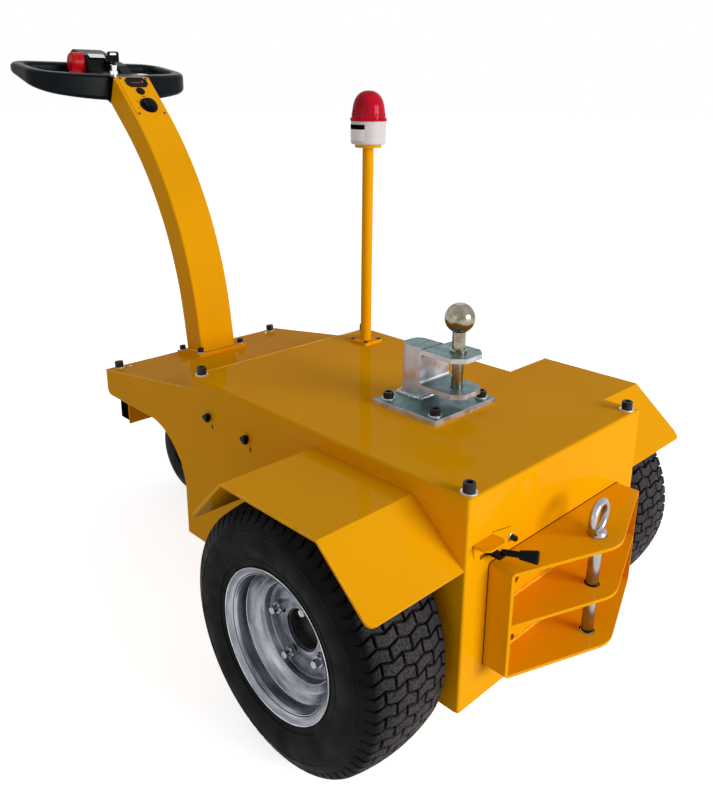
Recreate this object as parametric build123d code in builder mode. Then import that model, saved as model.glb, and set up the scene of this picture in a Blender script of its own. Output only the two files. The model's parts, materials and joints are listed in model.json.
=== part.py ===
"""Pedestrian electric baggage tug: two drive wheels, a nose caster, a tiller and two couplings.

Millimetres. +X points forward to the tiller, +Y to the left and +Z up, with the ground at Z = 0.
"""
from build123d import *
from math import atan2, cos, degrees, radians, sin, tan
import os

os.makedirs("parts", exist_ok=True)

SIDES = (("left", 1), ("right", -1))

# ---------------------------------------------------------------- driving dimensions
# reaches are distances ahead of the rear axle
BODY_OVERHANG = 200.0  # rear face of the body behind the axle
COUPLER_DEPTH = 100.0  # coupler tip behind the body
LID_REACH = 452.0
BODY_REACH = 483.0
NOSE_REACH = 778.0
LID_TOP = 450.0
LID_FLANGE = 25.0
DECK_SLOPE = 8.25  # degrees, falling forward
DECK_REAR_Z = LID_TOP - LID_FLANGE - 0.4

# tiller column, a square tube bent to one radius
FLANGE_REACH = NOSE_REACH - 62.0
FLANGE_LENGTH = 96.0
FLANGE_WIDTH = 130.0
FLANGE_PLATE = 8.0
COLUMN_HALF = 45.0
COLUMN_DEPTH = 58.0
COLUMN_WALL = 4.0
COLUMN_EDGE = 4.0
COLUMN_STRAIGHT = 76.7
COLUMN_REAR_RADIUS = 757.0
COLUMN_TOP_ANGLE = 45.3  # degrees from vertical
COLUMN_TOP_RUN = 104.0
END_CUT_ANGLE = 21.0  # degrees between the cut end and the vertical
start_angle = radians(DECK_SLOPE)
top_angle = radians(COLUMN_TOP_ANGLE)
COLUMN_BASE_REACH = FLANGE_REACH - 25.5
COLUMN_BASE_Z = DECK_REAR_Z - (COLUMN_BASE_REACH - LID_REACH) * tan(start_angle) + FLANGE_PLATE / cos(start_angle)
COLUMN_TOP_REACH = (
    COLUMN_BASE_REACH
    + COLUMN_STRAIGHT * sin(start_angle)
    + COLUMN_REAR_RADIUS * (cos(start_angle) - cos(top_angle))
    + COLUMN_TOP_RUN * sin(top_angle)
)
COLUMN_TOP_Z = (
    COLUMN_BASE_Z
    + COLUMN_STRAIGHT * cos(start_angle)
    + COLUMN_REAR_RADIUS * (sin(top_angle) - sin(start_angle))
    + COLUMN_TOP_RUN * cos(top_angle)
)

# tiller head, carried by the column's cut end
LOOP_LENGTH = 216.0
LOOP_HALF = 198.0
LOOP_RIM = 31.0
LOOP_CORNER = 58.0
LOOP_SIDE_RADIUS = 74.0
LOOP_WIDEST = 96.0  # start of the straight sides, ahead of the loop's rear
LOOP_TILT = 9.0  # degrees, upper surface
UNDER_TILT = 17.7  # degrees, lower surface
UNDER_BOW_RADIUS = 2600.0
LOOP_EDGE = 10.0
LOOP_UNDER_EDGE = 8.0
LOOP_REACH = COLUMN_TOP_REACH + 20.9
LOOP_TOP_REAR = COLUMN_TOP_Z + 3.3
LOOP_UNDER_REAR = LOOP_TOP_REAR - 58.0
NECK_LENGTH = 35.0
POD_HALF = 36.0
POD_PROFILE = (  # ahead of the loop's rear, above its upper surface there
    (35, -36),
    (35, 5.5),
    (105, 13),
    (114, 19),
    (118, 33),
    (130, 47),
    (155, 54),
    (185, 62),
    (198, 57),
    (206, 44),
    (209, 26),
    (187, 6),
)

# rear axle line, set so that the bounding box is centred on the origin
AXLE_X = (BODY_OVERHANG + COUPLER_DEPTH - LOOP_REACH - LOOP_LENGTH) / 2


def fore(distance):
    """X of a point this far ahead of the rear axle."""
    return AXLE_X + distance


# body shell
HALF_WIDTH = 229.5
PLATE = 6.0
SHEET = 4.0
BODY_REAR = fore(-BODY_OVERHANG)
BODY_FRONT = fore(BODY_REACH)
BODY_BOTTOM = 113.0
LID_FRONT = fore(LID_REACH)
LID_SCREW_X = (BODY_REAR + 15, LID_FRONT - 12)
LID_SCREW_Y = HALF_WIDTH - 18.5
SEAT_TOP = LID_TOP - SHEET

# nose
DECK_START = 0.7
NOSE_FRONT = fore(NOSE_REACH)
NOSE_LIP_Z = 324.0
ARCH_RADIUS = 125.0
ARCH_X = BODY_FRONT + ARCH_RADIUS
ARCH_Z = NOSE_LIP_Z - ARCH_RADIUS
SKIRT_HALF = HALF_WIDTH - 43.5
SKIRT_BOTTOM = NOSE_LIP_Z - 83.0
BRACKET_HALF = SKIRT_HALF - 81.0
BRACKET_REAR = NOSE_FRONT - 138.0

# wheels
TYRE_RADIUS = 205.0
TYRE_HALF_WIDTH = 82.5
TYRE_GAP = 11.0  # between the tyre and the side plate
TRACK_HALF = HALF_WIDTH + TYRE_GAP + TYRE_HALF_WIDTH
BEAD_RADIUS = 103.0
RIM_HALF_WIDTH = 76.0
RIM_FLANGE_RADIUS = 116.0
RIM_SHEET = 4.0
DISC_FACE = 23.0  # outer face of the wheel disc, outboard of the wheel's middle plane
PILOT_RADIUS = 33.5
HUB_RADIUS = 66.0
HUB_FLANGE = 10.0
HUB_BOSS = 12.0
SHAFT_RADIUS = 17.5
RUNNING_CLEARANCE = 0.05
AXLE_TUBE_RADIUS = 35.0
AXLE_TUBE_END = TRACK_HALF - 8.0

# nose caster
CASTER_R = 108.0
CASTER_HALF_WIDTH = 32.0
SWIVEL_X = NOSE_FRONT - 46.0
CASTER_X = SWIVEL_X + 77.0
FORK_INNER = CASTER_HALF_WIDTH + 6.0
FORK_PLATE = 6.0
CROWN_TOP = 2 * CASTER_R + 16.0
MOUNT_BOTTOM = CROWN_TOP + 20.0
AXLE_BOLT_RADIUS = 8.0
KINGPIN_RADIUS = 12.0

# fenders
FENDER_OUTER_Y = TRACK_HALF + TYRE_HALF_WIDTH + 2.5
FENDER_SHEET = 4.0
FENDER_LINE = (  # distance ahead of the axle, height above the top of the tyre
    (-198, -66),
    (-103, 14),
    (103, 14),
    (185, -72),
)

# rear coupler
COUPLER_HALF = HALF_WIDTH - 52.5
COUPLER_BOTTOM = 165.0
COUPLER_TOP = 335.0
COUPLER_PLATE = 5.0
COUPLER_SIDE_DEPTH = 39.0
COUPLER_BEND = 7.0
COUPLER_TIP_RADIUS = 60.0
PIN_X = BODY_REAR - 0.64 * COUPLER_DEPTH
PIN_RADIUS = 9.5
PIN_HOLE_RADIUS = 11.75
EYE_RADIUS = 25.0
EYE_WIRE = 7.5
EYE_TURN = 25.0  # degrees, eye turned out of the cross plane

# latch in the rear panel
LATCH_Y = HALF_WIDTH - 47.5
LATCH_Z = COUPLER_TOP + 17.0
HOOD_Y = HALF_WIDTH - 35.5
HOOD_Z = COUPLER_TOP + 44.0

# top hitch
HITCH_X = fore(56)
HITCH_LENGTH = 138.0
HITCH_WIDTH = 156.0
HITCH_PLATE = 9.0
POST_REAR = fore(66)
POST_FRONT = fore(118)
POST_HALF = 25.0
POST_TOP = 549.0
CLEVIS_REAR = fore(-23.5)
CLEVIS_HALF = 37.0
CLEVIS_BOTTOM = 483.0
CLEVIS_TOP = 551.5
CLEVIS_PLATE = 8.0
BALL_X = fore(10)
BALL_Z = 609.0
BALL_RADIUS = 25.0
BALL_SHANK_RADIUS = 11.0
BALL_PIN_RADIUS = 9.75
BALL_PIN_HOLE_RADIUS = 10.5

# beacon
BEACON_X = LID_FRONT - 70.0
BEACON_Y = 70.5 - HALF_WIDTH
POLE_RADIUS = 11.0
POLE_TOP = 848.0


def finish(builder, name):
    """Label one finished piece and write it to its own file."""
    builder.part.label = name
    export_step(builder.part, f"parts/{name}.step")


def deck_plane(distance_ahead, lift=0.0):
    """Plane lying in the deck's upper surface at this distance ahead of the rear axle."""
    slope = radians(DECK_SLOPE)
    height = DECK_REAR_Z - (fore(distance_ahead) - LID_FRONT) * tan(slope)
    plane = Plane(
        origin=(fore(distance_ahead), 0, height),
        x_dir=(cos(slope), 0, -sin(slope)),
        z_dir=(sin(slope), 0, cos(slope)),
    )
    return plane.offset(lift)


def deck_underside(x):
    """Height of the deck's lower surface at this X."""
    slope = radians(DECK_SLOPE)
    return DECK_REAR_Z - SHEET / cos(slope) - (x - LID_FRONT) * tan(slope)


# ---------------------------------------------------------------- body shell
for side, sign in SIDES:
    face_y = HALF_WIDTH if sign > 0 else PLATE - HALF_WIDTH
    with BuildPart() as side_plate:
        with BuildSketch(Plane.XZ.offset(-face_y)) as outline:
            with BuildLine():
                Polyline(
                    (ARCH_X, NOSE_LIP_Z),
                    (NOSE_FRONT, NOSE_LIP_Z),
                    (NOSE_FRONT, deck_underside(NOSE_FRONT)),
                    (LID_FRONT, deck_underside(LID_FRONT)),
                    (LID_FRONT, LID_TOP - LID_FLANGE),
                    (BODY_REAR + PLATE, LID_TOP - LID_FLANGE),
                    (BODY_REAR + PLATE, BODY_BOTTOM),
                    (BODY_FRONT, BODY_BOTTOM),
                    (BODY_FRONT, ARCH_Z),
                )
                CenterArc((ARCH_X, ARCH_Z), ARCH_RADIUS, 90, 90)
            make_face()
            lip_corner = outline.vertices().group_by(Axis.X)[-1].sort_by(Axis.Y)[0]
            fillet(lip_corner, 12)
            with Locations((AXLE_X, TYRE_RADIUS)):
                Circle(AXLE_TUBE_RADIUS, mode=Mode.SUBTRACT)
        extrude(amount=PLATE)
        # seats under the lid's four screws
        seat_width = 26.0
        seat_y = sign * (HALF_WIDTH - PLATE - seat_width / 2)
        with Locations(*[(x, seat_y, SEAT_TOP) for x in (LID_SCREW_X[0] + 12, LID_SCREW_X[1] - 12)]):
            Box(32, seat_width, 30, align=(Align.CENTER, Align.CENTER, Align.MAX))
    finish(side_plate, f"side_plate_{side}")


with BuildPart() as rear_panel:
    with BuildSketch(Plane.YZ.offset(BODY_REAR)):
        with Locations((0, (LID_TOP - LID_FLANGE + BODY_BOTTOM) / 2)):
            Rectangle(2 * HALF_WIDTH, LID_TOP - LID_FLANGE - BODY_BOTTOM)
        with Locations((LATCH_Y, LATCH_Z)):
            Rectangle(34, 7, mode=Mode.SUBTRACT)
        # drain and cable holes inside the coupler, two above each other on each side
        hole_y = COUPLER_HALF - 71
        for hole_z in (COUPLER_TOP - 58, COUPLER_BOTTOM + 11):
            with Locations((hole_y, hole_z), (-hole_y, hole_z)):
                Circle(6, mode=Mode.SUBTRACT)
    extrude(amount=PLATE)
    fillet(rear_panel.edges().filter_by(Axis.Z).group_by(Axis.X)[0].sort_by(Axis.Y)[0], 4)
    fillet(rear_panel.edges().filter_by(Axis.Z).group_by(Axis.X)[0].sort_by(Axis.Y)[-1], 4)
    # hood over the latch slot, turned out of the panel
    with BuildSketch(Plane.XY.offset(HOOD_Z)) as hood:
        with Locations((BODY_REAR - 12.5, HOOD_Y)):
            Rectangle(25, 44)
        chamfer(hood.vertices().group_by(Axis.X)[0], 7)
    extrude(amount=-3)
finish(rear_panel, "rear_panel")

with BuildPart() as front_bulkhead:
    bulkhead_top = deck_underside(BODY_FRONT)
    with BuildSketch(Plane.YZ.offset(BODY_FRONT - PLATE)):
        with Locations((0, (bulkhead_top + BODY_BOTTOM + PLATE) / 2)):
            Rectangle(2 * (HALF_WIDTH - PLATE), bulkhead_top - BODY_BOTTOM - PLATE)
    extrude(amount=PLATE)
finish(front_bulkhead, "front_bulkhead")

with BuildPart() as floor_plate:
    with BuildSketch(Plane.XY.offset(BODY_BOTTOM)):
        with Locations(((BODY_REAR + PLATE + BODY_FRONT) / 2, 0)):
            Rectangle(BODY_FRONT - BODY_REAR - PLATE, 2 * (HALF_WIDTH - PLATE))
    extrude(amount=PLATE)
finish(floor_plate, "floor_plate")

with BuildPart() as lid:
    lid_centre = (BODY_REAR + LID_FRONT) / 2
    lid_length = LID_FRONT - BODY_REAR
    with BuildSketch(Plane.XY.offset(LID_TOP - LID_FLANGE)):
        with Locations((lid_centre, 0)):
            Rectangle(lid_length, 2 * HALF_WIDTH)
    extrude(amount=LID_FLANGE)
    fillet(lid.edges().filter_by(Axis.Z), 5)
    fillet(lid.faces().sort_by(Axis.Z)[-1].edges(), 5)
    with BuildSketch(Plane.XY.offset(LID_TOP - LID_FLANGE)):
        with Locations((lid_centre, 0)):
            RectangleRounded(lid_length - 2 * SHEET, 2 * (HALF_WIDTH - SHEET), 2)
    extrude(amount=LID_FLANGE - SHEET, mode=Mode.SUBTRACT)
finish(lid, "lid")

with BuildPart() as nose_deck:
    deck_length = (NOSE_FRONT - LID_FRONT) / cos(radians(DECK_SLOPE)) + 1
    with BuildSketch(deck_plane(LID_REACH)):
        with Locations(((DECK_START + deck_length) / 2, 0)):
            Rectangle(deck_length - DECK_START, 2 * HALF_WIDTH)
    extrude(amount=-SHEET)
finish(nose_deck, "nose_deck")

with BuildPart() as nose_front_panel:
    panel_top = deck_underside(NOSE_FRONT)
    with BuildSketch(Plane.YZ.offset(NOSE_FRONT - SHEET)):
        with Locations((0, (panel_top + NOSE_LIP_Z) / 2)):
            Rectangle(2 * (HALF_WIDTH - PLATE), panel_top - NOSE_LIP_Z)
        with Locations((0, (SKIRT_BOTTOM + NOSE_LIP_Z + 10) / 2)):
            Rectangle(2 * SKIRT_HALF, NOSE_LIP_Z + 10 - SKIRT_BOTTOM)
    extrude(amount=SHEET)
finish(nose_front_panel, "nose_front_panel")

with BuildPart() as caster_bracket:
    # base plate, rear web and two cheeks welded up to the deck
    inner_front = NOSE_FRONT - SHEET
    with BuildSketch(Plane.XZ.offset(-BRACKET_HALF)):
        with BuildLine():
            Polyline(
                (BRACKET_REAR, MOUNT_BOTTOM + 8),
                (inner_front, MOUNT_BOTTOM + 8),
                (inner_front, deck_underside(inner_front)),
                (BRACKET_REAR, deck_underside(BRACKET_REAR)),
                close=True,
            )
        make_face()
    extrude(amount=2 * BRACKET_HALF)
    with BuildSketch(Plane.XZ.offset(-BRACKET_HALF + PLATE)):
        with BuildLine():
            Polyline(
                (BRACKET_REAR + PLATE, MOUNT_BOTTOM + 16),
                (inner_front, MOUNT_BOTTOM + 16),
                (inner_front, deck_underside(inner_front)),
                (BRACKET_REAR + PLATE, deck_underside(BRACKET_REAR + PLATE)),
                close=True,
            )
        make_face()
    extrude(amount=2 * (BRACKET_HALF - PLATE), mode=Mode.SUBTRACT)
finish(caster_bracket, "caster_bracket")

for side, sign in SIDES:
    start_y = FENDER_OUTER_Y if sign > 0 else -HALF_WIDTH
    tyre_top = 2 * TYRE_RADIUS
    with BuildPart() as fender:
        with BuildSketch(Plane.XZ.offset(-start_y)):
            with BuildLine():
                upper = Polyline(*[(fore(x), tyre_top + rise) for x, rise in FENDER_LINE])
                offset(upper, amount=FENDER_SHEET, side=Side.RIGHT, closed=True)
            make_face()
        extrude(amount=FENDER_OUTER_Y - HALF_WIDTH)
        tips = fender.edges().filter_by(GeomType.LINE)
        outer_tips = [
            edge
            for edge in tips
            if abs(edge.length - FENDER_SHEET) < 0.5 and abs(abs(edge.center().Y) - FENDER_OUTER_Y) < 0.5
        ]
        fillet(outer_tips, 12)
    finish(fender, f"fender_{side}")

# ---------------------------------------------------------------- drive line and battery
with BuildPart() as battery_block:
    battery_length = 300.0
    battery_height = 230.0
    battery_gap = 39.5  # to the outside of the body at each side
    with Locations((fore(LID_REACH - 2 - battery_length / 2), 0, BODY_BOTTOM + PLATE)):
        Box(
            battery_length,
            2 * (HALF_WIDTH - battery_gap),
            battery_height,
            align=(Align.CENTER, Align.CENTER, Align.MIN),
        )
finish(battery_block, "battery_block")

with BuildPart() as axle_housing:
    with BuildSketch(Plane.XZ.offset(-AXLE_TUBE_END)):
        with Locations((AXLE_X, TYRE_RADIUS)):
            Circle(AXLE_TUBE_RADIUS)
    extrude(amount=2 * AXLE_TUBE_END)
    with Locations((AXLE_X + 10, 0, TYRE_RADIUS)):
        Box(170, 190, 150)
    bore_radius = SHAFT_RADIUS + RUNNING_CLEARANCE
    bore_depth = 80.0
    for sign in (1, -1):
        with BuildSketch(Plane.XZ.offset(-sign * AXLE_TUBE_END)):
            with Locations((AXLE_X, TYRE_RADIUS)):
                Circle(bore_radius)
        extrude(amount=sign * bore_depth, mode=Mode.SUBTRACT)
finish(axle_housing, "axle_housing")

for side, sign in SIDES:
    middle = Plane(origin=(AXLE_X, sign * TRACK_HALF, TYRE_RADIUS), x_dir=(1, 0, 0), z_dir=(0, sign, 0))
    # section plane through the wheel's axis: local x is the radius, local y points outboard
    section = Plane(origin=middle.origin, x_dir=(1, 0, 0), z_dir=(0, 0, sign))
    wheel_axis = Axis(middle.origin, (0, 1, 0))
    with BuildPart() as tyre:
        with BuildSketch(section):
            with BuildLine():
                bead_y = 66.0
                shoulder = (197.0, 66.0)
                bulge = (162.0, TYRE_HALF_WIDTH)
                flange_y = RIM_HALF_WIDTH - RIM_SHEET - 1
                lower = (RIM_FLANGE_RADIUS + 2, 74.0)
                Polyline(
                    (lower[0], -lower[1]),
                    (RIM_FLANGE_RADIUS, -flange_y),
                    (BEAD_RADIUS, -bead_y),
                    (BEAD_RADIUS, bead_y),
                    (RIM_FLANGE_RADIUS, flange_y),
                    lower,
                )
                ThreePointArc(lower, bulge, shoulder)
                ThreePointArc(shoulder, (TYRE_RADIUS, 0), (shoulder[0], -shoulder[1]))
                ThreePointArc((shoulder[0], -shoulder[1]), (bulge[0], -bulge[1]), (lower[0], -lower[1]))
            make_face()
        revolve(axis=wheel_axis)
    finish(tyre, f"tyre_{side}")

    with BuildPart() as rim:
        well = 86.0
        seat = BEAD_RADIUS - RIM_SHEET - 1  # inner radius under the outer bead
        disc_inner = DISC_FACE - RIM_SHEET
        barrel = (  # radius, distance outboard
            (RIM_FLANGE_RADIUS, -RIM_HALF_WIDTH),
            (BEAD_RADIUS, -66),
            (BEAD_RADIUS, -42),
            (well, -34),
            (well, 28),
            (BEAD_RADIUS, 45),
            (BEAD_RADIUS, 66),
            (RIM_FLANGE_RADIUS, RIM_HALF_WIDTH - RIM_SHEET - 1),
            (RIM_FLANGE_RADIUS, RIM_HALF_WIDTH),
            (BEAD_RADIUS, 69),
            (seat + 3, 65),
            (seat, 50),
            (well - RIM_SHEET, 32),
            (well - RIM_SHEET, -38),
            (BEAD_RADIUS - RIM_SHEET, -46),
            (BEAD_RADIUS - RIM_SHEET, -66),
        )
        # dished disc: cone from the seat, a step, then the flat face round the pilot bore
        disc = (
            (seat - 2, 44),
            (77, DISC_FACE + 9),
            (73.5, DISC_FACE),
            (PILOT_RADIUS, DISC_FACE),
            (PILOT_RADIUS, disc_inner),
            (76, disc_inner),
            (90, disc_inner + 15),
        )
        with BuildSketch(section):
            with BuildLine():
                Polyline(*barrel, close=True)
            make_face()
            with BuildLine():
                Polyline(*disc, close=True)
            make_face()
        revolve(axis=wheel_axis)
    finish(rim, f"rim_{side}")

    with BuildPart() as hub:
        # flange against the disc, hollow boss behind it and the driven shaft
        hub_back = disc_inner - HUB_FLANGE - HUB_BOSS
        with BuildSketch(middle.offset(disc_inner)):
            Circle(HUB_RADIUS)
        extrude(amount=-HUB_FLANGE)
        with BuildSketch(middle.offset(disc_inner - HUB_FLANGE)):
            Circle(PILOT_RADIUS + 6)
        extrude(amount=-HUB_BOSS)
        with BuildSketch(middle.offset(disc_inner)):
            Circle(PILOT_RADIUS - 2.5)
        extrude(amount=-(HUB_FLANGE + HUB_BOSS - 4), mode=Mode.SUBTRACT)
        with BuildSketch(middle.offset(hub_back)):
            Circle(SHAFT_RADIUS)
        shaft_length = TRACK_HALF + hub_back - (AXLE_TUBE_END - bore_depth) - 5
        extrude(amount=-shaft_length)
    finish(hub, f"hub_{side}")

# ---------------------------------------------------------------- nose caster
with BuildPart() as caster_plate:
    with BuildSketch(Plane.XY.offset(MOUNT_BOTTOM)):
        with Locations((SWIVEL_X, 0)):
            RectangleRounded(80, 110, 8)
    extrude(amount=8)
    with BuildSketch(Plane.XY.offset(CROWN_TOP + 4)):
        with Locations((SWIVEL_X, 0)):
            Circle(34)
    extrude(amount=MOUNT_BOTTOM - CROWN_TOP - 4)
    with BuildSketch(Plane.XY.offset(CROWN_TOP + 4)):
        with Locations((SWIVEL_X, 0)):
            Circle(KINGPIN_RADIUS + RUNNING_CLEARANCE)
    extrude(amount=24, mode=Mode.SUBTRACT)
finish(caster_plate, "caster_plate")

with BuildPart() as caster_fork:
    crown_bottom = CROWN_TOP - 8
    with BuildSketch(Plane.XY.offset(crown_bottom)):
        with Locations((SWIVEL_X, 0)):
            Circle(FORK_INNER + FORK_PLATE)
        with Locations((SWIVEL_X + 20, 0)):
            Rectangle(60, 2 * (FORK_INNER + FORK_PLATE))
    extrude(amount=8)
    with BuildSketch(Plane.XY.offset(CROWN_TOP)):
        with Locations((SWIVEL_X, 0)):
            Circle(KINGPIN_RADIUS)
    extrude(amount=22)
    for sign in (1, -1):
        leg_y = FORK_INNER + FORK_PLATE if sign > 0 else -FORK_INNER
        with BuildSketch(Plane.XZ.offset(-leg_y)) as leg:
            with BuildLine():
                Polyline(
                    (SWIVEL_X - 22, CROWN_TOP),
                    (SWIVEL_X + 50, CROWN_TOP),
                    (CASTER_X + 18, CASTER_R + 8),
                    (CASTER_X + 18, CASTER_R - 18),
                    (CASTER_X - 18, CASTER_R - 18),
                    close=True,
                )
            make_face()
            fillet(leg.vertices().sort_by(Axis.Y)[:2], 10)
        extrude(amount=FORK_PLATE)
    with BuildSketch(Plane.XZ.offset(-(FORK_INNER + FORK_PLATE + 8))):
        with Locations((CASTER_X, CASTER_R)):
            Circle(AXLE_BOLT_RADIUS)
    extrude(amount=2 * (FORK_INNER + FORK_PLATE + 8))
finish(caster_fork, "caster_fork")

caster_section = Plane(origin=(CASTER_X, 0, CASTER_R), x_dir=(1, 0, 0), z_dir=(0, 0, -1))
caster_axis = Axis((CASTER_X, 0, CASTER_R), (0, 1, 0))
CASTER_RIM_R = 58.0
with BuildPart() as caster_tyre:
    with BuildSketch(caster_section):
        with BuildLine():
            rim_edge = (CASTER_RIM_R, 24.0)
            wall = (84.0, CASTER_HALF_WIDTH)
            tread_edge = (101.0, 22.0)
            Line((CASTER_RIM_R, -24), rim_edge)
            ThreePointArc(rim_edge, wall, tread_edge)
            ThreePointArc(tread_edge, (CASTER_R, 0), (tread_edge[0], -tread_edge[1]))
            ThreePointArc((tread_edge[0], -tread_edge[1]), (wall[0], -wall[1]), (rim_edge[0], -rim_edge[1]))
        make_face()
    revolve(axis=caster_axis)
finish(caster_tyre, "caster_tyre")

with BuildPart() as caster_rim:
    with BuildSketch(caster_section):
        with BuildLine():
            Polyline(
                (AXLE_BOLT_RADIUS + RUNNING_CLEARANCE, -36),
                (AXLE_BOLT_RADIUS + RUNNING_CLEARANCE, 36),
                (18, 36),
                (20, 8),
                (46, 8),
                (50, 24),
                (CASTER_RIM_R, 24),
                (CASTER_RIM_R, -24),
                (50, -24),
                (46, -8),
                (20, -8),
                (18, -36),
                close=True,
            )
        make_face()
    revolve(axis=caster_axis)
finish(caster_rim, "caster_rim")

# ---------------------------------------------------------------- rear coupler
with BuildPart() as coupler_frame:
    # one bent ring: top, bottom and two cheeks
    height = COUPLER_TOP - COUPLER_BOTTOM
    with BuildSketch(Plane.YZ.offset(BODY_REAR)):
        with Locations((0, (COUPLER_TOP + COUPLER_BOTTOM) / 2)):
            RectangleRounded(2 * COUPLER_HALF, height, COUPLER_BEND)
            RectangleRounded(
                2 * (COUPLER_HALF - COUPLER_PLATE),
                height - 2 * COUPLER_PLATE,
                COUPLER_BEND - COUPLER_PLATE,
                mode=Mode.SUBTRACT,
            )
    extrude(amount=-COUPLER_DEPTH - 20)
    # plan outline: shallow arrow with a rounded tip
    with BuildSketch(Plane.XY.offset(COUPLER_BOTTOM - 1)) as plan:
        tip_x = BODY_REAR - COUPLER_DEPTH - 3.92  # before the tip is rounded
        with BuildLine():
            Polyline(
                (BODY_REAR, COUPLER_HALF),
                (BODY_REAR - COUPLER_SIDE_DEPTH, COUPLER_HALF),
                (tip_x, 0),
                (BODY_REAR - COUPLER_SIDE_DEPTH, -COUPLER_HALF),
                (BODY_REAR, -COUPLER_HALF),
                close=True,
            )
        make_face()
        fillet(plan.vertices().sort_by(Axis.X)[0], COUPLER_TIP_RADIUS)
    extrude(amount=height + 2, mode=Mode.INTERSECT)
    with BuildSketch(Plane.XY.offset(COUPLER_BOTTOM - 1)):
        with Locations((PIN_X, 0)):
            Circle(PIN_HOLE_RADIUS)
    extrude(amount=height + 2, mode=Mode.SUBTRACT)
finish(coupler_frame, "coupler_frame")

with BuildPart() as coupler_shelf:
    shelf_top = (COUPLER_TOP + COUPLER_BOTTOM + COUPLER_PLATE) / 2
    with BuildSketch(Plane.XY.offset(shelf_top)) as shelf:
        with BuildLine():
            inner = COUPLER_HALF - COUPLER_PLATE
            Polyline(
                (BODY_REAR, inner),
                (BODY_REAR - COUPLER_SIDE_DEPTH - 2, inner),
                (tip_x, 0),
                (BODY_REAR - COUPLER_SIDE_DEPTH - 2, -inner),
                (BODY_REAR, -inner),
                close=True,
            )
        make_face()
        fillet(shelf.vertices().sort_by(Axis.X)[0], COUPLER_TIP_RADIUS)
        with Locations((PIN_X, 0)):
            Circle(PIN_HOLE_RADIUS, mode=Mode.SUBTRACT)
    extrude(amount=-COUPLER_PLATE)
finish(coupler_shelf, "coupler_shelf")

with BuildPart() as coupling_pin:
    collar = 8.0
    eye_z = COUPLER_TOP + collar - 7 + EYE_WIRE + EYE_RADIUS
    pin_bottom = COUPLER_BOTTOM + 1
    turn = radians(EYE_TURN)
    with BuildSketch(Plane.XY.offset(pin_bottom)):
        with Locations((PIN_X, 0)):
            Circle(PIN_RADIUS)
    extrude(amount=COUPLER_TOP - pin_bottom)
    with BuildSketch(Plane.XY.offset(COUPLER_TOP)):
        with Locations((PIN_X, 0)):
            Circle(PIN_HOLE_RADIUS + 3)
    extrude(amount=collar, taper=8)
    with Locations(Plane(origin=(PIN_X, 0, eye_z), x_dir=(0, 0, 1), z_dir=(cos(turn), sin(turn), 0))):
        Torus(EYE_RADIUS, EYE_WIRE)
finish(coupling_pin, "coupling_pin")

# ---------------------------------------------------------------- latch lever at the rear corner
with BuildPart() as latch_lever:
    # pivot block on the panel's inner face and the flat tongue through the slot
    with Locations((BODY_REAR + PLATE, LATCH_Y, LATCH_Z)):
        Box(22, 40, 26, align=(Align.MIN, Align.CENTER, Align.CENTER))
    bend = Vector(BODY_REAR - 16, LATCH_Y - 15, LATCH_Z + 3)
    with Locations((BODY_REAR + PLATE, LATCH_Y - 8, LATCH_Z)):
        Box(PLATE + 20, 14, 4, align=(Align.MAX, Align.CENTER, Align.CENTER))
    # round lever with its grip, leaning to the right
    lever_dir = Vector(-0.907, -0.418, 0.046).normalized()
    shaft = 22.0
    with Locations(bend):
        Sphere(4.5)
    with BuildSketch(Plane(origin=bend, z_dir=lever_dir)):
        Circle(4.5)
    extrude(amount=shaft)
    with BuildSketch(Plane(origin=bend + lever_dir * shaft, z_dir=lever_dir)):
        Circle(6.4)
    extrude(amount=26, taper=-8)
    fillet(latch_lever.edges().filter_by(GeomType.CIRCLE).sort_by(Axis.X)[0], 2.5)
finish(latch_lever, "latch_lever")

# ---------------------------------------------------------------- top hitch
with BuildPart() as hitch_plate:
    with BuildSketch(Plane.XY.offset(LID_TOP)):
        with Locations((HITCH_X, 0)):
            Rectangle(HITCH_LENGTH, HITCH_WIDTH)
    extrude(amount=HITCH_PLATE)
    chamfer(hitch_plate.faces().sort_by(Axis.Z)[-1].edges(), 1)
finish(hitch_plate, "hitch_plate")

with BuildPart() as hitch_post:
    with BuildSketch(Plane.XY.offset(LID_TOP + HITCH_PLATE)) as post_plan:
        with Locations(((POST_REAR + POST_FRONT) / 2, 0)):
            Rectangle(POST_FRONT - POST_REAR, 2 * POST_HALF)
        fillet(post_plan.vertices().group_by(Axis.X)[-1], 18)
    extrude(amount=POST_TOP - LID_TOP - HITCH_PLATE)
finish(hitch_post, "hitch_post")

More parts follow.
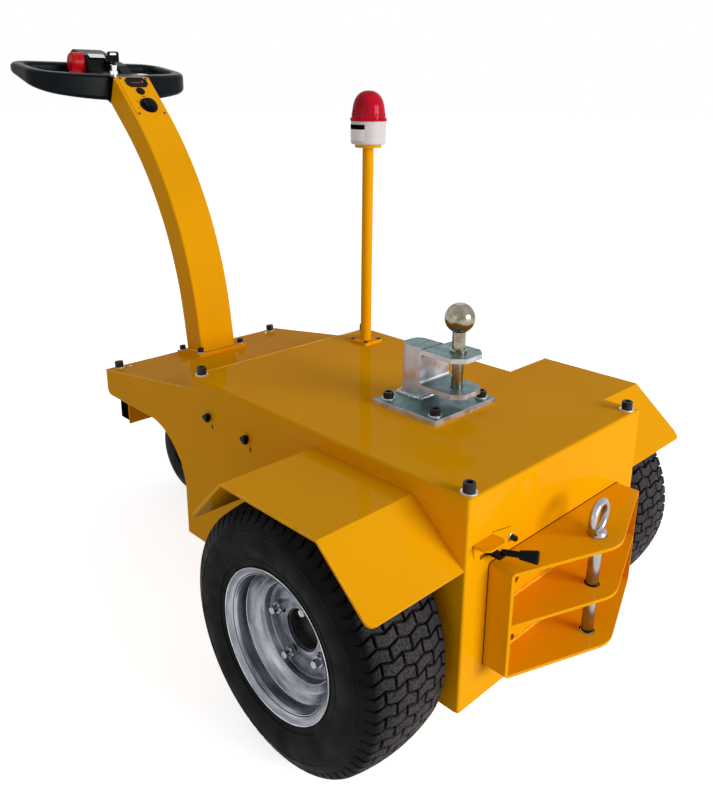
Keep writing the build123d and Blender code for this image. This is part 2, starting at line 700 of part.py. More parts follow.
with BuildPart() as hitch_clevis:
    # U bent from one strip, its arms cut to half an octagon
    with BuildSketch(Plane.XZ.offset(-CLEVIS_HALF)) as strip:
        with Locations(((POST_REAR + CLEVIS_REAR) / 2, (CLEVIS_TOP + CLEVIS_BOTTOM) / 2)):
            Rectangle(POST_REAR - CLEVIS_REAR, CLEVIS_TOP - CLEVIS_BOTTOM)
        fillet(strip.vertices().group_by(Axis.X)[-1], 14)
        with BuildLine():
            Polyline(
                (CLEVIS_REAR, CLEVIS_TOP - CLEVIS_PLATE),
                (POST_REAR - CLEVIS_PLATE, CLEVIS_TOP - CLEVIS_PLATE),
                (POST_REAR - CLEVIS_PLATE, CLEVIS_BOTTOM + CLEVIS_PLATE),
                (CLEVIS_REAR, CLEVIS_BOTTOM + CLEVIS_PLATE),
                close=True,
            )
        make_face(mode=Mode.SUBTRACT)
    extrude(amount=2 * CLEVIS_HALF)
    fillet(
        hitch_clevis.edges()
        .filter_by(Axis.Y)
        .filter_by(lambda edge: abs(edge.center().X - POST_REAR + CLEVIS_PLATE) < 0.1),
        6,
    )
    chamfer(
        hitch_clevis.edges()
        .filter_by(Axis.Z)
        .filter_by(lambda edge: abs(edge.center().X - CLEVIS_REAR) < 0.1),
        17,
    )
    with BuildSketch(Plane.XY.offset(CLEVIS_BOTTOM)):
        with Locations((BALL_X, 0)):
            Circle(BALL_PIN_HOLE_RADIUS)
    extrude(amount=CLEVIS_TOP - CLEVIS_BOTTOM, mode=Mode.SUBTRACT)
finish(hitch_clevis, "hitch_clevis")

with BuildPart() as ball_pin:
    with BuildSketch(Plane.XZ) as ball_profile:
        with BuildLine():
            flat_z = BALL_Z + 23.5
            flat_r = (BALL_RADIUS**2 - 23.5**2) ** 0.5
            neck_z = BALL_Z - (BALL_RADIUS**2 - BALL_SHANK_RADIUS**2) ** 0.5
            pin_end = CLEVIS_BOTTOM - 10
            Polyline(
                (BALL_X, flat_z),
                (BALL_X, pin_end),
                (BALL_X + BALL_PIN_RADIUS - 1.5, pin_end),
                (BALL_X + BALL_PIN_RADIUS, pin_end + 1.5),
                (BALL_X + BALL_PIN_RADIUS, CLEVIS_TOP),
                (BALL_X + 14, CLEVIS_TOP),
                (BALL_X + 14, CLEVIS_TOP + 4),
                (BALL_X + BALL_SHANK_RADIUS, CLEVIS_TOP + 6),
                (BALL_X + BALL_SHANK_RADIUS, neck_z),
            )
            ThreePointArc(
                (BALL_X + BALL_SHANK_RADIUS, neck_z),
                (BALL_X + BALL_RADIUS, BALL_Z),
                (BALL_X + flat_r, flat_z),
            )
            Line((BALL_X + flat_r, flat_z), (BALL_X, flat_z))
        make_face()
    revolve(axis=Axis((BALL_X, 0, 0), (0, 0, 1)))
finish(ball_pin, "ball_pin")

# ---------------------------------------------------------------- warning beacon
with BuildPart() as beacon_pole:
    with BuildSketch(Plane.XY.offset(LID_TOP)):
        with Locations((BEACON_X, BEACON_Y)):
            RectangleRounded(50, 50, 4)
    extrude(amount=6)
    with BuildSketch(Plane.XY.offset(LID_TOP + 6)):
        with Locations((BEACON_X, BEACON_Y)):
            Circle(POLE_RADIUS)
    extrude(amount=POLE_TOP - LID_TOP - 6)
    with BuildSketch(Plane.XY.offset(POLE_TOP)):
        with Locations((BEACON_X, BEACON_Y)):
            Circle(26)
    extrude(amount=6)
finish(beacon_pole, "beacon_pole")

with BuildPart() as beacon_base:
    base_top = POLE_TOP + 50
    with BuildSketch(Plane.XY.offset(POLE_TOP + 6)):
        with Locations((BEACON_X, BEACON_Y)):
            Circle(34.5)
    extrude(amount=base_top - POLE_TOP - 6)
    fillet(beacon_base.edges().group_by(Axis.Z)[0], 4)
finish(beacon_base, "beacon_base")

with BuildPart() as beacon_dome:
    # screw flange and the round-topped lens on it
    dome_height = 57.0
    with BuildSketch(Plane.XY.offset(base_top)):
        with Locations((BEACON_X, BEACON_Y)):
            Circle(34)
    extrude(amount=5)
    with BuildSketch(Plane.XY.offset(base_top + 5)):
        with Locations((BEACON_X, BEACON_Y)):
            Circle(32.5)
    extrude(amount=dome_height - 5)
    fillet(beacon_dome.faces().sort_by(Axis.Z)[-1].edges(), 22)
finish(beacon_dome, "beacon_dome")

# ---------------------------------------------------------------- tiller column
with BuildPart() as column_flange:
    with BuildSketch(deck_plane(FLANGE_REACH)):
        RectangleRounded(FLANGE_LENGTH, FLANGE_WIDTH, 8)
    extrude(amount=FLANGE_PLATE)
finish(column_flange, "column_flange")

foot_dir = Vector(sin(start_angle), cos(start_angle))
top_dir = Vector(sin(top_angle), cos(top_angle))
column_base = Vector(fore(COLUMN_BASE_REACH), COLUMN_BASE_Z)
column_top = Vector(fore(COLUMN_TOP_REACH), COLUMN_TOP_Z)
bend_start = column_base + foot_dir * COLUMN_STRAIGHT
bend_end = column_top - top_dir * COLUMN_TOP_RUN
half_turn = (start_angle + top_angle) / 2
bend_centre = bend_start + Vector(cos(start_angle), -sin(start_angle)) * COLUMN_REAR_RADIUS
bend_middle = bend_centre + Vector(-cos(half_turn), sin(half_turn)) * COLUMN_REAR_RADIUS

with BuildPart() as column:
    with BuildSketch(Plane.XZ.offset(-COLUMN_HALF)) as column_side:
        with BuildLine():
            rear_line = Line(column_base, bend_start)
            rear_arc = ThreePointArc(bend_start, bend_middle, bend_end)
            rear_top = Line(bend_end, column_top)
            offset(amount=COLUMN_DEPTH, side=Side.RIGHT, closed=True)
        make_face()
    extrude(amount=2 * COLUMN_HALF)
    # the tube's four long edges are rounded
    long_edges = [
        edge
        for edge in column.edges()
        if abs(abs(edge.center().Y) - COLUMN_HALF) < 0.01 and edge.length > COLUMN_DEPTH + 5
    ]
    fillet(long_edges, COLUMN_EDGE)
    with BuildSketch(Plane.XZ.offset(-COLUMN_HALF + COLUMN_WALL)):
        offset(column_side.sketch_local.face(), amount=-COLUMN_WALL)
    extrude(amount=2 * (COLUMN_HALF - COLUMN_WALL), mode=Mode.SUBTRACT)
    cut_dir = radians(END_CUT_ANGLE)
    end_cut = Plane(
        origin=(column_top.X, 0, column_top.Y),
        x_dir=(0, 1, 0),
        z_dir=(cos(cut_dir), 0, sin(cut_dir)),
    )
    split(bisect_by=end_cut, keep=Keep.BOTTOM)
finish(column, "column")

# ---------------------------------------------------------------- control panel on the column's top run
panel_plane = Plane(
    origin=(column_top.X, 0, column_top.Y),
    x_dir=(0, -1, 0),
    z_dir=(-cos(top_angle), 0, sin(top_angle)),
)
PANEL_LENGTH = 116.0
PANEL_WIDTH = 76.0
PANEL_PLATE = 1.5
with BuildPart() as control_panel:
    with BuildSketch(panel_plane):
        with Locations((0, -PANEL_LENGTH / 2 - 1)):
            RectangleRounded(PANEL_WIDTH, PANEL_LENGTH, 3)
    extrude(amount=PANEL_PLATE)
finish(control_panel, "control_panel")

panel_face = panel_plane.offset(PANEL_PLATE)
with BuildPart() as battery_meter:
    # dark window with cut corners in a low frame
    with BuildSketch(panel_face) as meter_outline:
        with Locations((3, -18)):
            Rectangle(54, 28)
        chamfer(meter_outline.vertices(), 8)
    extrude(amount=2.5)
    with BuildSketch(panel_face.offset(2.5)):
        add(meter_outline.sketch_local.moved(Location((0, 0, 0))))
        offset(amount=-2.5)
    extrude(amount=-1, mode=Mode.SUBTRACT)
finish(battery_meter, "battery_meter")

with BuildPart() as horn_button:
    with BuildSketch(panel_face):
        with Locations((1, -45)):
            Circle(10)
    extrude(amount=2.5)
    with BuildSketch(panel_face.offset(2.5)):
        with Locations((1, -45)):
            Circle(7)
            Circle(6, mode=Mode.SUBTRACT)
    extrude(amount=-1.2, mode=Mode.SUBTRACT)
finish(horn_button, "horn_button")

with BuildPart() as speed_knob:
    # skirt, grip and the pointer rib across it
    knob_at = (2, -88)
    with BuildSketch(panel_face):
        with Locations(knob_at):
            Circle(21)
    extrude(amount=4, taper=20)
    with BuildSketch(panel_face.offset(4)):
        with Locations(knob_at):
            Circle(15.5)
    extrude(amount=6, taper=6)
    with BuildSketch(panel_face.offset(10)):
        with Locations(knob_at):
            Rectangle(5, 24)
    extrude(amount=2)
finish(speed_knob, "speed_knob")

# ---------------------------------------------------------------- tiller head
LOOP_REAR = fore(LOOP_REACH)
LOOP_FRONT = LOOP_REAR + LOOP_LENGTH
NECK_FRONT = LOOP_REAR + NECK_LENGTH
tilt = radians(LOOP_TILT)
under = radians(UNDER_TILT)
loop_top = Plane(origin=(LOOP_REAR, 0, LOOP_TOP_REAR), x_dir=(cos(tilt), 0, sin(tilt)), z_dir=(-sin(tilt), 0, cos(tilt)))


def above_loop(distance):
    """Height of the loop's upper surface this far ahead of its rear."""
    return LOOP_TOP_REAR + distance * tan(tilt)


loop_middle = LOOP_REAR + LOOP_WIDEST
side_end = LOOP_FRONT - LOOP_CORNER
bar_end = LOOP_HALF - LOOP_CORNER
side_centre_y = LOOP_HALF - LOOP_SIDE_RADIUS
# radius of the arc next to the column, tangent to both side arcs
rear_radius = (LOOP_WIDEST**2 + side_centre_y**2 - LOOP_SIDE_RADIUS**2) / (2 * (LOOP_WIDEST - LOOP_SIDE_RADIUS))
rear_centre_x = LOOP_REAR + rear_radius
meet_angle = degrees(atan2(side_centre_y, rear_centre_x - loop_middle))
with BuildSketch() as loop_plan:
    with BuildLine():
        CenterArc((rear_centre_x, 0), rear_radius, 180 - meet_angle, 2 * meet_angle)
        for sign in (1, -1):
            CenterArc((loop_middle, sign * side_centre_y), LOOP_SIDE_RADIUS, sign * 90, sign * (90 - meet_angle))
            Line((loop_middle, sign * LOOP_HALF), (side_end, sign * LOOP_HALF))
            CenterArc((side_end, sign * bar_end), LOOP_CORNER, 0, sign * 90)
        Line((LOOP_FRONT, bar_end), (LOOP_FRONT, -bar_end))
    make_face()

with BuildPart() as handle_loop:
    # ring in plan, thick at the column and thin at the far bar
    stock_bottom = LOOP_UNDER_REAR - 40
    with BuildSketch(Plane.XY.offset(stock_bottom)):
        add(loop_plan.sketch)
        offset(amount=-LOOP_RIM, mode=Mode.SUBTRACT)
    extrude(amount=LOOP_LENGTH)
    split(bisect_by=loop_top, keep=Keep.BOTTOM)
    # the lower surface rises faster and bows up a little towards both hands
    lead = 30.0
    base = LOOP_UNDER_REAR - lead * tan(under)
    half = LOOP_HALF + 10
    bow = half**2 / (2 * UNDER_BOW_RADIUS)
    with BuildSketch(Plane.YZ.offset(LOOP_REAR - lead)):
        with BuildLine():
            ThreePointArc((-half, base + bow), (0, base), (half, base + bow))
            Polyline(
                (half, base + bow),
                (half, base + LOOP_LENGTH),
                (-half, base + LOOP_LENGTH),
                (-half, base + bow),
            )
        make_face()
    extrude(amount=(LOOP_LENGTH + 2 * lead) / cos(under), dir=(cos(under), 0, sin(under)), mode=Mode.INTERSECT)
    upper = [edge for edge in handle_loop.edges() if abs(loop_top.to_local_coords(edge.center()).Z) < 0.5]
    fillet(upper, LOOP_EDGE)
    lower = [
        edge
        for edge in handle_loop.edges()
        if edge.geom_type != GeomType.LINE or abs(edge.tangent_at(0.5).Z) < 0.9
        if loop_top.to_local_coords(edge.center()).Z < -LOOP_EDGE - 3
    ]
    fillet(lower, LOOP_UNDER_EDGE)
    # neck that closes the column's cut end
    with BuildSketch(Plane.XZ.offset(-COLUMN_HALF + 1)):
        with BuildLine():
            cut_length = COLUMN_DEPTH / sin(radians(COLUMN_TOP_ANGLE + END_CUT_ANGLE)) - 1.3
            cut_foot = column_top + Vector(sin(cut_dir), -cos(cut_dir)) * cut_length
            Polyline(
                column_top,
                (LOOP_REAR - 3, above_loop(-3)),
                (NECK_FRONT, above_loop(NECK_LENGTH)),
                (NECK_FRONT, LOOP_UNDER_REAR + NECK_LENGTH * tan(under)),
                (LOOP_REAR + 10, LOOP_UNDER_REAR),
                cut_foot,
                close=True,
            )
        make_face()
    extrude(amount=2 * (COLUMN_HALF - 1))
finish(handle_loop, "handle_loop")

with BuildPart() as handle_pod:
    # rounded housing across the far bar, with a ramp down to the neck on the right
    with BuildSketch(Plane.XZ.offset(-POD_HALF)) as pod_side:
        with BuildLine():
            Polyline(*[(LOOP_REAR + ahead, LOOP_TOP_REAR + rise) for ahead, rise in POD_PROFILE], close=True)
        make_face()
        fillet(pod_side.vertices().filter_by(lambda corner: corner.Y > LOOP_TOP_REAR + 30), 6)
    extrude(amount=2 * POD_HALF)
    with BuildSketch(Plane.XZ.offset(POD_HALF)):
        with BuildLine():
            ramp = ((35, -10), (35, 5.5), (63, 24), (93, 33), (125, 38), (125, -10))
            Polyline(*[(LOOP_REAR + ahead, LOOP_TOP_REAR + rise) for ahead, rise in ramp], close=True)
        make_face()
    extrude(amount=-28)
    add(handle_loop.part, mode=Mode.SUBTRACT)
finish(handle_pod, "handle_pod")

with BuildPart() as throttle:
    with BuildSketch(Plane.XZ.offset(-POD_HALF)):
        with Locations((LOOP_REAR + 145, LOOP_TOP_REAR + 29)):
            Ellipse(19, 24)
    extrude(amount=-30)
    chamfer(throttle.faces().sort_by(Axis.Y)[-1].edges(), 4)
    add(handle_loop.part, mode=Mode.SUBTRACT)
finish(throttle, "throttle")

KEY_REACH = 24.0
KEY_Y = 20.0
lock_plane = Plane(
    origin=(LOOP_REAR + KEY_REACH, KEY_Y, above_loop(KEY_REACH)),
    x_dir=loop_top.x_dir,
    z_dir=loop_top.z_dir,
)
with BuildPart() as key_switch:
    # lock barrel with its collar nut
    with BuildSketch(lock_plane):
        Circle(10)
    extrude(amount=7, taper=5)
    with BuildSketch(lock_plane.offset(7)):
        Circle(7.5)
    extrude(amount=13)
finish(key_switch, "key_switch")

with BuildPart() as key:
    # blade in the lock, then the moulded head with its ring hole
    key_foot = lock_plane.offset(20).origin
    key_plane = Plane(origin=key_foot, x_dir=(1, 1, 0), z_dir=(1, -1, 0))
    with BuildSketch(key_plane.offset(-1)):
        with Locations((0, 4)):
            Rectangle(7, 8)
    extrude(amount=2)
    with BuildSketch(key_plane.offset(-2.5)):
        with Locations((0, 18)):
            RectangleRounded(25, 23, 4)
        with Locations((0, 24)):
            RectangleRounded(16, 5, 2, mode=Mode.SUBTRACT)
    extrude(amount=5)
    add(key_switch.part, mode=Mode.SUBTRACT)
finish(key, "key")

# ---------------------------------------------------------------- front lamps
for side, sign in SIDES:
    with BuildPart() as lamp:
        # on the skirt, flush with its outer edge
        lamp_width = 66.0
        with Locations((NOSE_FRONT, sign * (SKIRT_HALF - lamp_width / 2), SKIRT_BOTTOM + 35)):
            Box(32, lamp_width, 56, align=(Align.MIN, Align.CENTER, Align.CENTER))
    finish(lamp, f"front_lamp_{side}")
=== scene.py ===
"""Looks for the airport baggage tug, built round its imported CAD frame. Metres, +X forward, +Y left, +Z up."""

import json
import math
import random

import bmesh
import bpy
from mathutils import Matrix, Vector


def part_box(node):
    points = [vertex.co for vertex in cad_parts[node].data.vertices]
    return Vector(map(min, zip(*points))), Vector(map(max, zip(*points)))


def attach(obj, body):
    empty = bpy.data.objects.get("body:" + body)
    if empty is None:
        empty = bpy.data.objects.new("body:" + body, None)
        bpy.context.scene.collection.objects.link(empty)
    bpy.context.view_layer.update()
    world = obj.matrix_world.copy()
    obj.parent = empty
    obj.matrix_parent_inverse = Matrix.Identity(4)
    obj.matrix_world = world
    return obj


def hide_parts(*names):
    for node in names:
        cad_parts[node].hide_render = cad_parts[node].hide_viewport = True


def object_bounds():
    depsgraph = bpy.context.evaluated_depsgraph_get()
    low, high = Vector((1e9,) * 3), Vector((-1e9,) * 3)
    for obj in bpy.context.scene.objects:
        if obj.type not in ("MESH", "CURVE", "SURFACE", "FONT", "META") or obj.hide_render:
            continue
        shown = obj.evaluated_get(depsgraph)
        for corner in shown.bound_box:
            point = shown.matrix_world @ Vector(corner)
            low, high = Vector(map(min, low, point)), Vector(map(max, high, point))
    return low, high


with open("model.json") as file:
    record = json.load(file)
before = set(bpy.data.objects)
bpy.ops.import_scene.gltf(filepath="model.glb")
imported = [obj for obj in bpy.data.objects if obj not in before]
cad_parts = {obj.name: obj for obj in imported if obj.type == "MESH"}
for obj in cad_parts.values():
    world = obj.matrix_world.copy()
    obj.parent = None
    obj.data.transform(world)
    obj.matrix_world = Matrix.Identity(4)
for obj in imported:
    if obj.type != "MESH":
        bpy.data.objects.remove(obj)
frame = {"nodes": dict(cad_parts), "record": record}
cad_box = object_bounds()
nodes = frame["nodes"]
draw = random.Random(11)

MM = 0.001
X, Y, Z = Vector((1, 0, 0)), Vector((0, 1, 0)), Vector((0, 0, 1))


def centre(node):
    low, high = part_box(node)
    return (low + high) / 2


AXLE_X = centre("tyre_left").x
WHEEL_Z = centre("tyre_left").z
TRACK = centre("tyre_left").y


def at(ahead, y, z):
    """A point given in millimetres ahead of the rear axle, to the left and up."""
    return Vector((AXLE_X + ahead * MM, y * MM, z * MM))


# ------------------------------------------------------------------ materials
class Shader:
    """A node material with short calls for what most finishes need."""

    def __init__(self, name, colour, roughness, metallic=0.0, coat=0.0, coat_roughness=0.05, specular=0.5):
        self.material = bpy.data.materials.new(name)
        self.material.use_nodes = True
        self.tree = self.material.node_tree
        self.bsdf = self.tree.nodes["Principled BSDF"]
        self.set("Base Color", (*colour, 1))
        self.set("Roughness", roughness)
        self.set("Metallic", metallic)
        self.set("Coat Weight", coat)
        self.set("Coat Roughness", coat_roughness)
        self.set("Specular IOR Level", specular)
        self.place = self.node("ShaderNodeTexCoord").outputs["Object"]
        self.normal = None

    def node(self, kind, **inputs):
        made = self.tree.nodes.new(kind)
        for key, value in inputs.items():
            made.inputs[key.replace("_", " ")].default_value = value
        return made

    def set(self, socket, value):
        self.bsdf.inputs[socket].default_value = value

    def link(self, source, target):
        self.tree.links.new(source, target)

    def noise(self, scale, detail=2.0, roughness=0.5):
        made = self.node("ShaderNodeTexNoise", Scale=scale, Detail=detail, Roughness=roughness)
        self.link(self.place, made.inputs["Vector"])
        return made.outputs["Fac"]

    def vector(self, operation, source, value=(0, 0, 0)):
        made = self.node("ShaderNodeVectorMath")
        made.operation = operation
        made.inputs[1].default_value = value
        self.link(source, made.inputs[0])
        return made.outputs["Value" if operation == "LENGTH" else "Vector"]

    def ramp(self, source, low, high, start=0.0, end=1.0):
        """source from start to end becomes low to high, numbers or colours."""
        if isinstance(low, tuple):
            made = self.node("ShaderNodeValToRGB")
            first, last = made.color_ramp.elements
            first.position, first.color = start, (*low, 1)
            last.position, last.color = end, (*high, 1)
            self.link(source, made.inputs["Fac"])
            return made.outputs["Color"]
        made = self.node("ShaderNodeMapRange")
        for key, value in zip(("From Min", "From Max", "To Min", "To Max"), (start, end, low, high)):
            made.inputs[key].default_value = value
        self.link(source, made.inputs["Value"])
        return made.outputs["Result"]

    def colour(self, source, low, high, start=0.35, end=0.65):
        self.link(self.ramp(source, low, high, start, end), self.bsdf.inputs["Base Color"])
        return self

    def blend(self, factor, first, second):
        """The base colour goes from first to second as the factor goes from 0 to 1."""
        mix = self.tree.nodes.new("ShaderNodeMix")
        mix.data_type = "RGBA"
        self.link(factor, mix.inputs[0])
        self.link(first, mix.inputs[6])
        self.link(second, mix.inputs[7])
        self.link(mix.outputs[2], self.bsdf.inputs["Base Color"])

    def rough(self, source, low, high, start=0.3, end=0.7):
        self.link(self.ramp(source, low, high, start, end), self.bsdf.inputs["Roughness"])
        return self

    def bump(self, source, distance, strength=1.0):
        made = self.node("ShaderNodeBump", Strength=strength, Distance=distance)
        self.link(source, made.inputs["Height"])
        if self.normal:
            self.link(self.normal, made.inputs["Normal"])
        self.normal = made.outputs["Normal"]
        self.link(self.normal, self.bsdf.inputs["Normal"])
        return self


def around(colour, spread):
    """The colour darkened and lightened by a share of itself."""
    dark = tuple(c * (1 - spread) for c in colour)
    light = tuple(c * (1 + spread) for c in colour)
    return dark, light


def paint():
    s = Shader(
        "yellow_powder_coat", (0.85, 0.365, 0.0012), 0.26, coat=0.07, coat_roughness=0.06, specular=0.0
    )
    s.colour(s.noise(3.0, 3.0), (0.83, 0.350, 0.0008), (0.87, 0.380, 0.0016))
    s.rough(s.noise(14.0, 4.0), 0.22, 0.34)
    s.bump(s.noise(5.0, 1.0), 0.004, 0.25)
    s.bump(s.noise(420.0, 1.5), 0.00022, 0.35)
    return s.material


def metal(name, dark, light, roughness, mottle=60.0, depth=0.00015, metallic=1.0):
    s = Shader(name, light, roughness, metallic=metallic)
    s.colour(s.noise(mottle, 5.0, 0.6), dark, light)
    s.rough(s.noise(mottle * 1.7, 4.0), roughness * 0.75, roughness * 1.35)
    s.bump(s.noise(900.0, 2.0), depth, 0.3)
    return s.material


def plated_painted_reflection(name, top, side, roughness, spread):
    """Plated steel with a painted reflection: faces that look up are painted darker and greener, as if
    mirroring a dark ceiling, and the others get a brighter grain.
    """
    s = Shader(name, side, roughness, metallic=1.0)
    parts = s.node("ShaderNodeSeparateXYZ")
    s.link(s.node("ShaderNodeTexCoord").outputs["Normal"], parts.inputs[0])
    # painted reflection: the colour turns darker and greener as the face turns up
    painted_reflection_up = s.ramp(parts.outputs["Z"], 0.0, 1.0, 0.35, 0.9)
    mottle = s.noise(34.0, 5.0, 0.6)
    on_side, painted_reflection_top = (s.ramp(mottle, *around(colour, spread), 0.35, 0.65) for colour in (side, top))
    s.blend(painted_reflection_up, on_side, painted_reflection_top)
    s.rough(s.noise(60.0, 4.0), roughness * 0.75, roughness * 1.4)
    s.bump(s.noise(700.0, 2.0), 0.00018, 0.3)
    return s.material


def from_axle(s):
    """The place counted from the rear axle, and its distance from the axle's line."""
    offset = s.vector("SUBTRACT", s.place, (AXLE_X, 0, WHEEL_Z))
    return offset, s.vector("LENGTH", s.vector("MULTIPLY", offset, (1, 0, 1)))


def spun_painted_reflection(name, dark, light, roughness):
    """Galvanised pressed steel, streaked dark and light round the wheel: partly the metal's own tone, partly a
    painted reflection.
    """
    s = Shader(name, light, roughness, metallic=1.0)
    offset, reach = from_axle(s)
    parts = s.node("ShaderNodeSeparateXYZ")
    s.link(offset, parts.inputs[0])
    angle = s.node("ShaderNodeMath")
    angle.operation = "ARCTAN2"
    s.link(parts.outputs["Z"], angle.inputs[0])
    s.link(parts.outputs["X"], angle.inputs[1])
    wound = s.node("ShaderNodeCombineXYZ")
    s.link(angle.outputs[0], wound.inputs[0])
    s.link(reach, wound.inputs[1])
    s.link(parts.outputs["Y"], wound.inputs[2])
    stretched = s.node("ShaderNodeMapping")
    stretched.inputs["Scale"].default_value = (1.1, 75.0, 55.0)
    s.link(wound.outputs[0], stretched.inputs["Vector"])
    streak = s.node("ShaderNodeTexNoise", Scale=1.0, Detail=4.0, Roughness=0.55)
    s.link(stretched.outputs[0], streak.inputs["Vector"])
    # the streaks are partly the metal's own tone, partly painted reflection
    s.colour(streak.outputs["Fac"], dark, light, 0.36, 0.66)
    s.rough(s.noise(45.0, 4.0), roughness * 0.7, roughness * 1.4)
    s.bump(s.noise(300.0, 3.0), 0.0002, 0.25)
    return s.material


def tread_rubber():
    """Rubber that is near black on the walls and scuffed grey on the tread's crown."""
    s = Shader("tyre_rubber", (0.003, 0.003, 0.0035), 0.6, specular=0.06)
    crown = s.ramp(from_axle(s)[1], 0.0, 1.0, 0.194, 0.2035)
    walls = s.ramp(s.noise(9.0, 5.0, 0.6), (0.0026, 0.0026, 0.003), (0.006, 0.006, 0.0065), 0.35, 0.65)
    scuffed = s.ramp(s.noise(330.0, 3.0, 0.65), (0.010, 0.009, 0.010), (0.075, 0.068, 0.070), 0.36, 0.68)
    s.blend(crown, walls, scuffed)
    s.rough(s.noise(30.0, 4.0), 0.5, 0.75)
    s.bump(s.noise(160.0, 4.0, 0.6), 0.0005, 0.2)
    s.bump(s.noise(1500.0, 2.0), 0.0001, 0.4)
    return s.material


def plastic(name, colour, roughness, depth=0.00008, spread=0.12, specular=0.5):
    s = Shader(name, colour, roughness, specular=specular)
    s.colour(s.noise(25.0, 3.0), *around(colour, spread))
    s.rough(s.noise(40.0, 4.0), roughness * 0.85, roughness * 1.15)
    s.bump(s.noise(1400.0, 2.0), depth, 0.3)
    return s.material


def rubber(name, dark, light, roughness, specular):
    s = Shader(name, dark, roughness, specular=specular)
    s.colour(s.noise(9.0, 5.0, 0.6), dark, light)
    s.rough(s.noise(30.0, 4.0), roughness * 0.85, min(1, roughness * 1.2))
    s.bump(s.noise(160.0, 4.0, 0.6), 0.0005, 0.2)
    s.bump(s.noise(1500.0, 2.0), 0.0001, 0.4)
    return s.material


def edge_painted_highlight():
    """Sheet edges and weld beads in lighter paint, a painted highlight where they catch the light."""
    s = Shader("paint_edge_painted_highlight", (0.9, 0.45, 0.01), 0.3, coat=0.05, specular=0.05)
    s.colour(s.noise(55.0, 4.0, 0.6), (0.86, 0.38, 0.003), (0.96, 0.56, 0.05))
    s.rough(s.noise(80.0, 3.0), 0.24, 0.4)
    s.bump(s.noise(500.0, 2.0), 0.0002, 0.3)
    return s.material


def lens():
    s = Shader("red_lens", (0.44, 0.0008, 0.012), 0.08, coat=0.14, coat_roughness=0.02, specular=0.02)
    s.colour(s.noise(24.0, 2.0), (0.33, 0.0006, 0.007), (0.54, 0.0012, 0.018))
    s.rough(s.noise(60.0, 2.0), 0.07, 0.13)
    return s.material


M = {
    "yellow": paint(),
    # zinc with a painted reflection, darker and greener on faces that look up
    "zinc": plated_painted_reflection("zinc_plate_painted_reflection", (0.13, 0.215, 0.225), (0.50, 0.485, 0.515), 0.42, spread=0.10),
    # rim steel whose dark and light streaks are partly painted reflection
    "galvanised": spun_painted_reflection("galvanised_rim_painted_reflection", (0.085, 0.100, 0.115), (0.38, 0.395, 0.44), 0.24),
    "dark_steel": metal("dark_machined_steel", (0.05, 0.048, 0.05), (0.10, 0.095, 0.10), 0.5),
    "brass_zinc": metal("yellow_zinc", (0.20, 0.175, 0.13), (0.36, 0.325, 0.26), 0.15, mottle=70.0),
    "chrome": metal("chrome", (0.62, 0.62, 0.64), (0.74, 0.74, 0.76), 0.10, mottle=20.0, depth=0.00003),
    "black_oxide": metal(
        "black_oxide_steel", (0.005, 0.005, 0.006), (0.014, 0.014, 0.016), 0.34, mottle=120.0, metallic=0.5
    ),
    "washer": metal("washer_steel", (0.48, 0.48, 0.50), (0.74, 0.74, 0.76), 0.36, mottle=90.0),
    "tyre": tread_rubber(),
    "black_plastic": plastic("black_moulded", (0.0038, 0.0058, 0.0072), 0.30, specular=0.055),
    "black_gloss": plastic("black_gloss", (0.004, 0.0035, 0.004), 0.10, depth=0.00002, specular=0.14),
    "white_plastic": plastic(
        "white_moulded", (0.66, 0.61, 0.63), 0.28, depth=0.00004, spread=0.03, specular=0.2
    ),
    "red_plastic": plastic("red_moulded", (0.56, 0.003, 0.008), 0.24, depth=0.00003, specular=0.12),
    "red_lens": lens(),
    "grey_plastic": plastic("grey_moulded", (0.16, 0.165, 0.17), 0.5),
    "battery": plastic("battery_case", (0.02, 0.02, 0.022), 0.5),
    "label": plastic("blank_label", (0.86, 0.84, 0.83), 0.35, depth=0.00002, spread=0.02),
    "weld": metal("zinc_weld", (0.30, 0.31, 0.31), (0.50, 0.52, 0.52), 0.42, mottle=240.0, depth=0.0003),
    "seam": rubber("shadow_gap", (0.085, 0.020, 0.001), (0.12, 0.030, 0.002), 0.9, specular=0.0),
    # near black, painted shade where holes and gaps are
    "hole": rubber("hole_painted_shade", (0.0015, 0.0015, 0.0016), (0.003, 0.003, 0.0032), 0.95, specular=0.0),
    # lighter paint, a painted highlight on sheet edges and weld beads
    "edge": edge_painted_highlight(),
    "pin": metal("pin_zinc", (0.29, 0.29, 0.31), (0.44, 0.43, 0.46), 0.22, mottle=40.0),
    "bright": metal("bright_edge", (0.28, 0.29, 0.31), (0.74, 0.75, 0.78), 0.25, mottle=26.0),
    "black_rim": rubber("black_cast_rim", (0.0026, 0.0026, 0.003), (0.006, 0.006, 0.0065), 0.5, specular=0.0),
    "window": plastic("meter_glass", (0.010, 0.001, 0.003), 0.06, depth=0.00001, specular=0.08),
    "bars": plastic("meter_bars", (0.16, 0.03, 0.06), 0.3, depth=0.00001),
    "lamp_red": plastic("lamp_red", (0.75, 0.05, 0.08), 0.1, depth=0.00001),
    "glass": plastic("lamp_glass", (0.55, 0.57, 0.60), 0.06, depth=0.00002, spread=0.04),
}

# black whatever their slot: the photo shows the left lamp and the caster dark, the right lamp follows
BLACKENED = ("front_lamp_left", "front_lamp_right", "caster_rim", "caster_fork")
slot_of = {part["node"]: part["material_slot"] for part in frame["record"]["subparts"]}
for name, obj in nodes.items():
    finish = M["black_rim"] if name in BLACKENED else M.get(slot_of.get(name), M["dark_steel"])
    obj.data.materials.clear()
    obj.data.materials.append(finish)


# ------------------------------------------------------------------ mesh tools
SIDES = (("left", 1), ("right", -1))


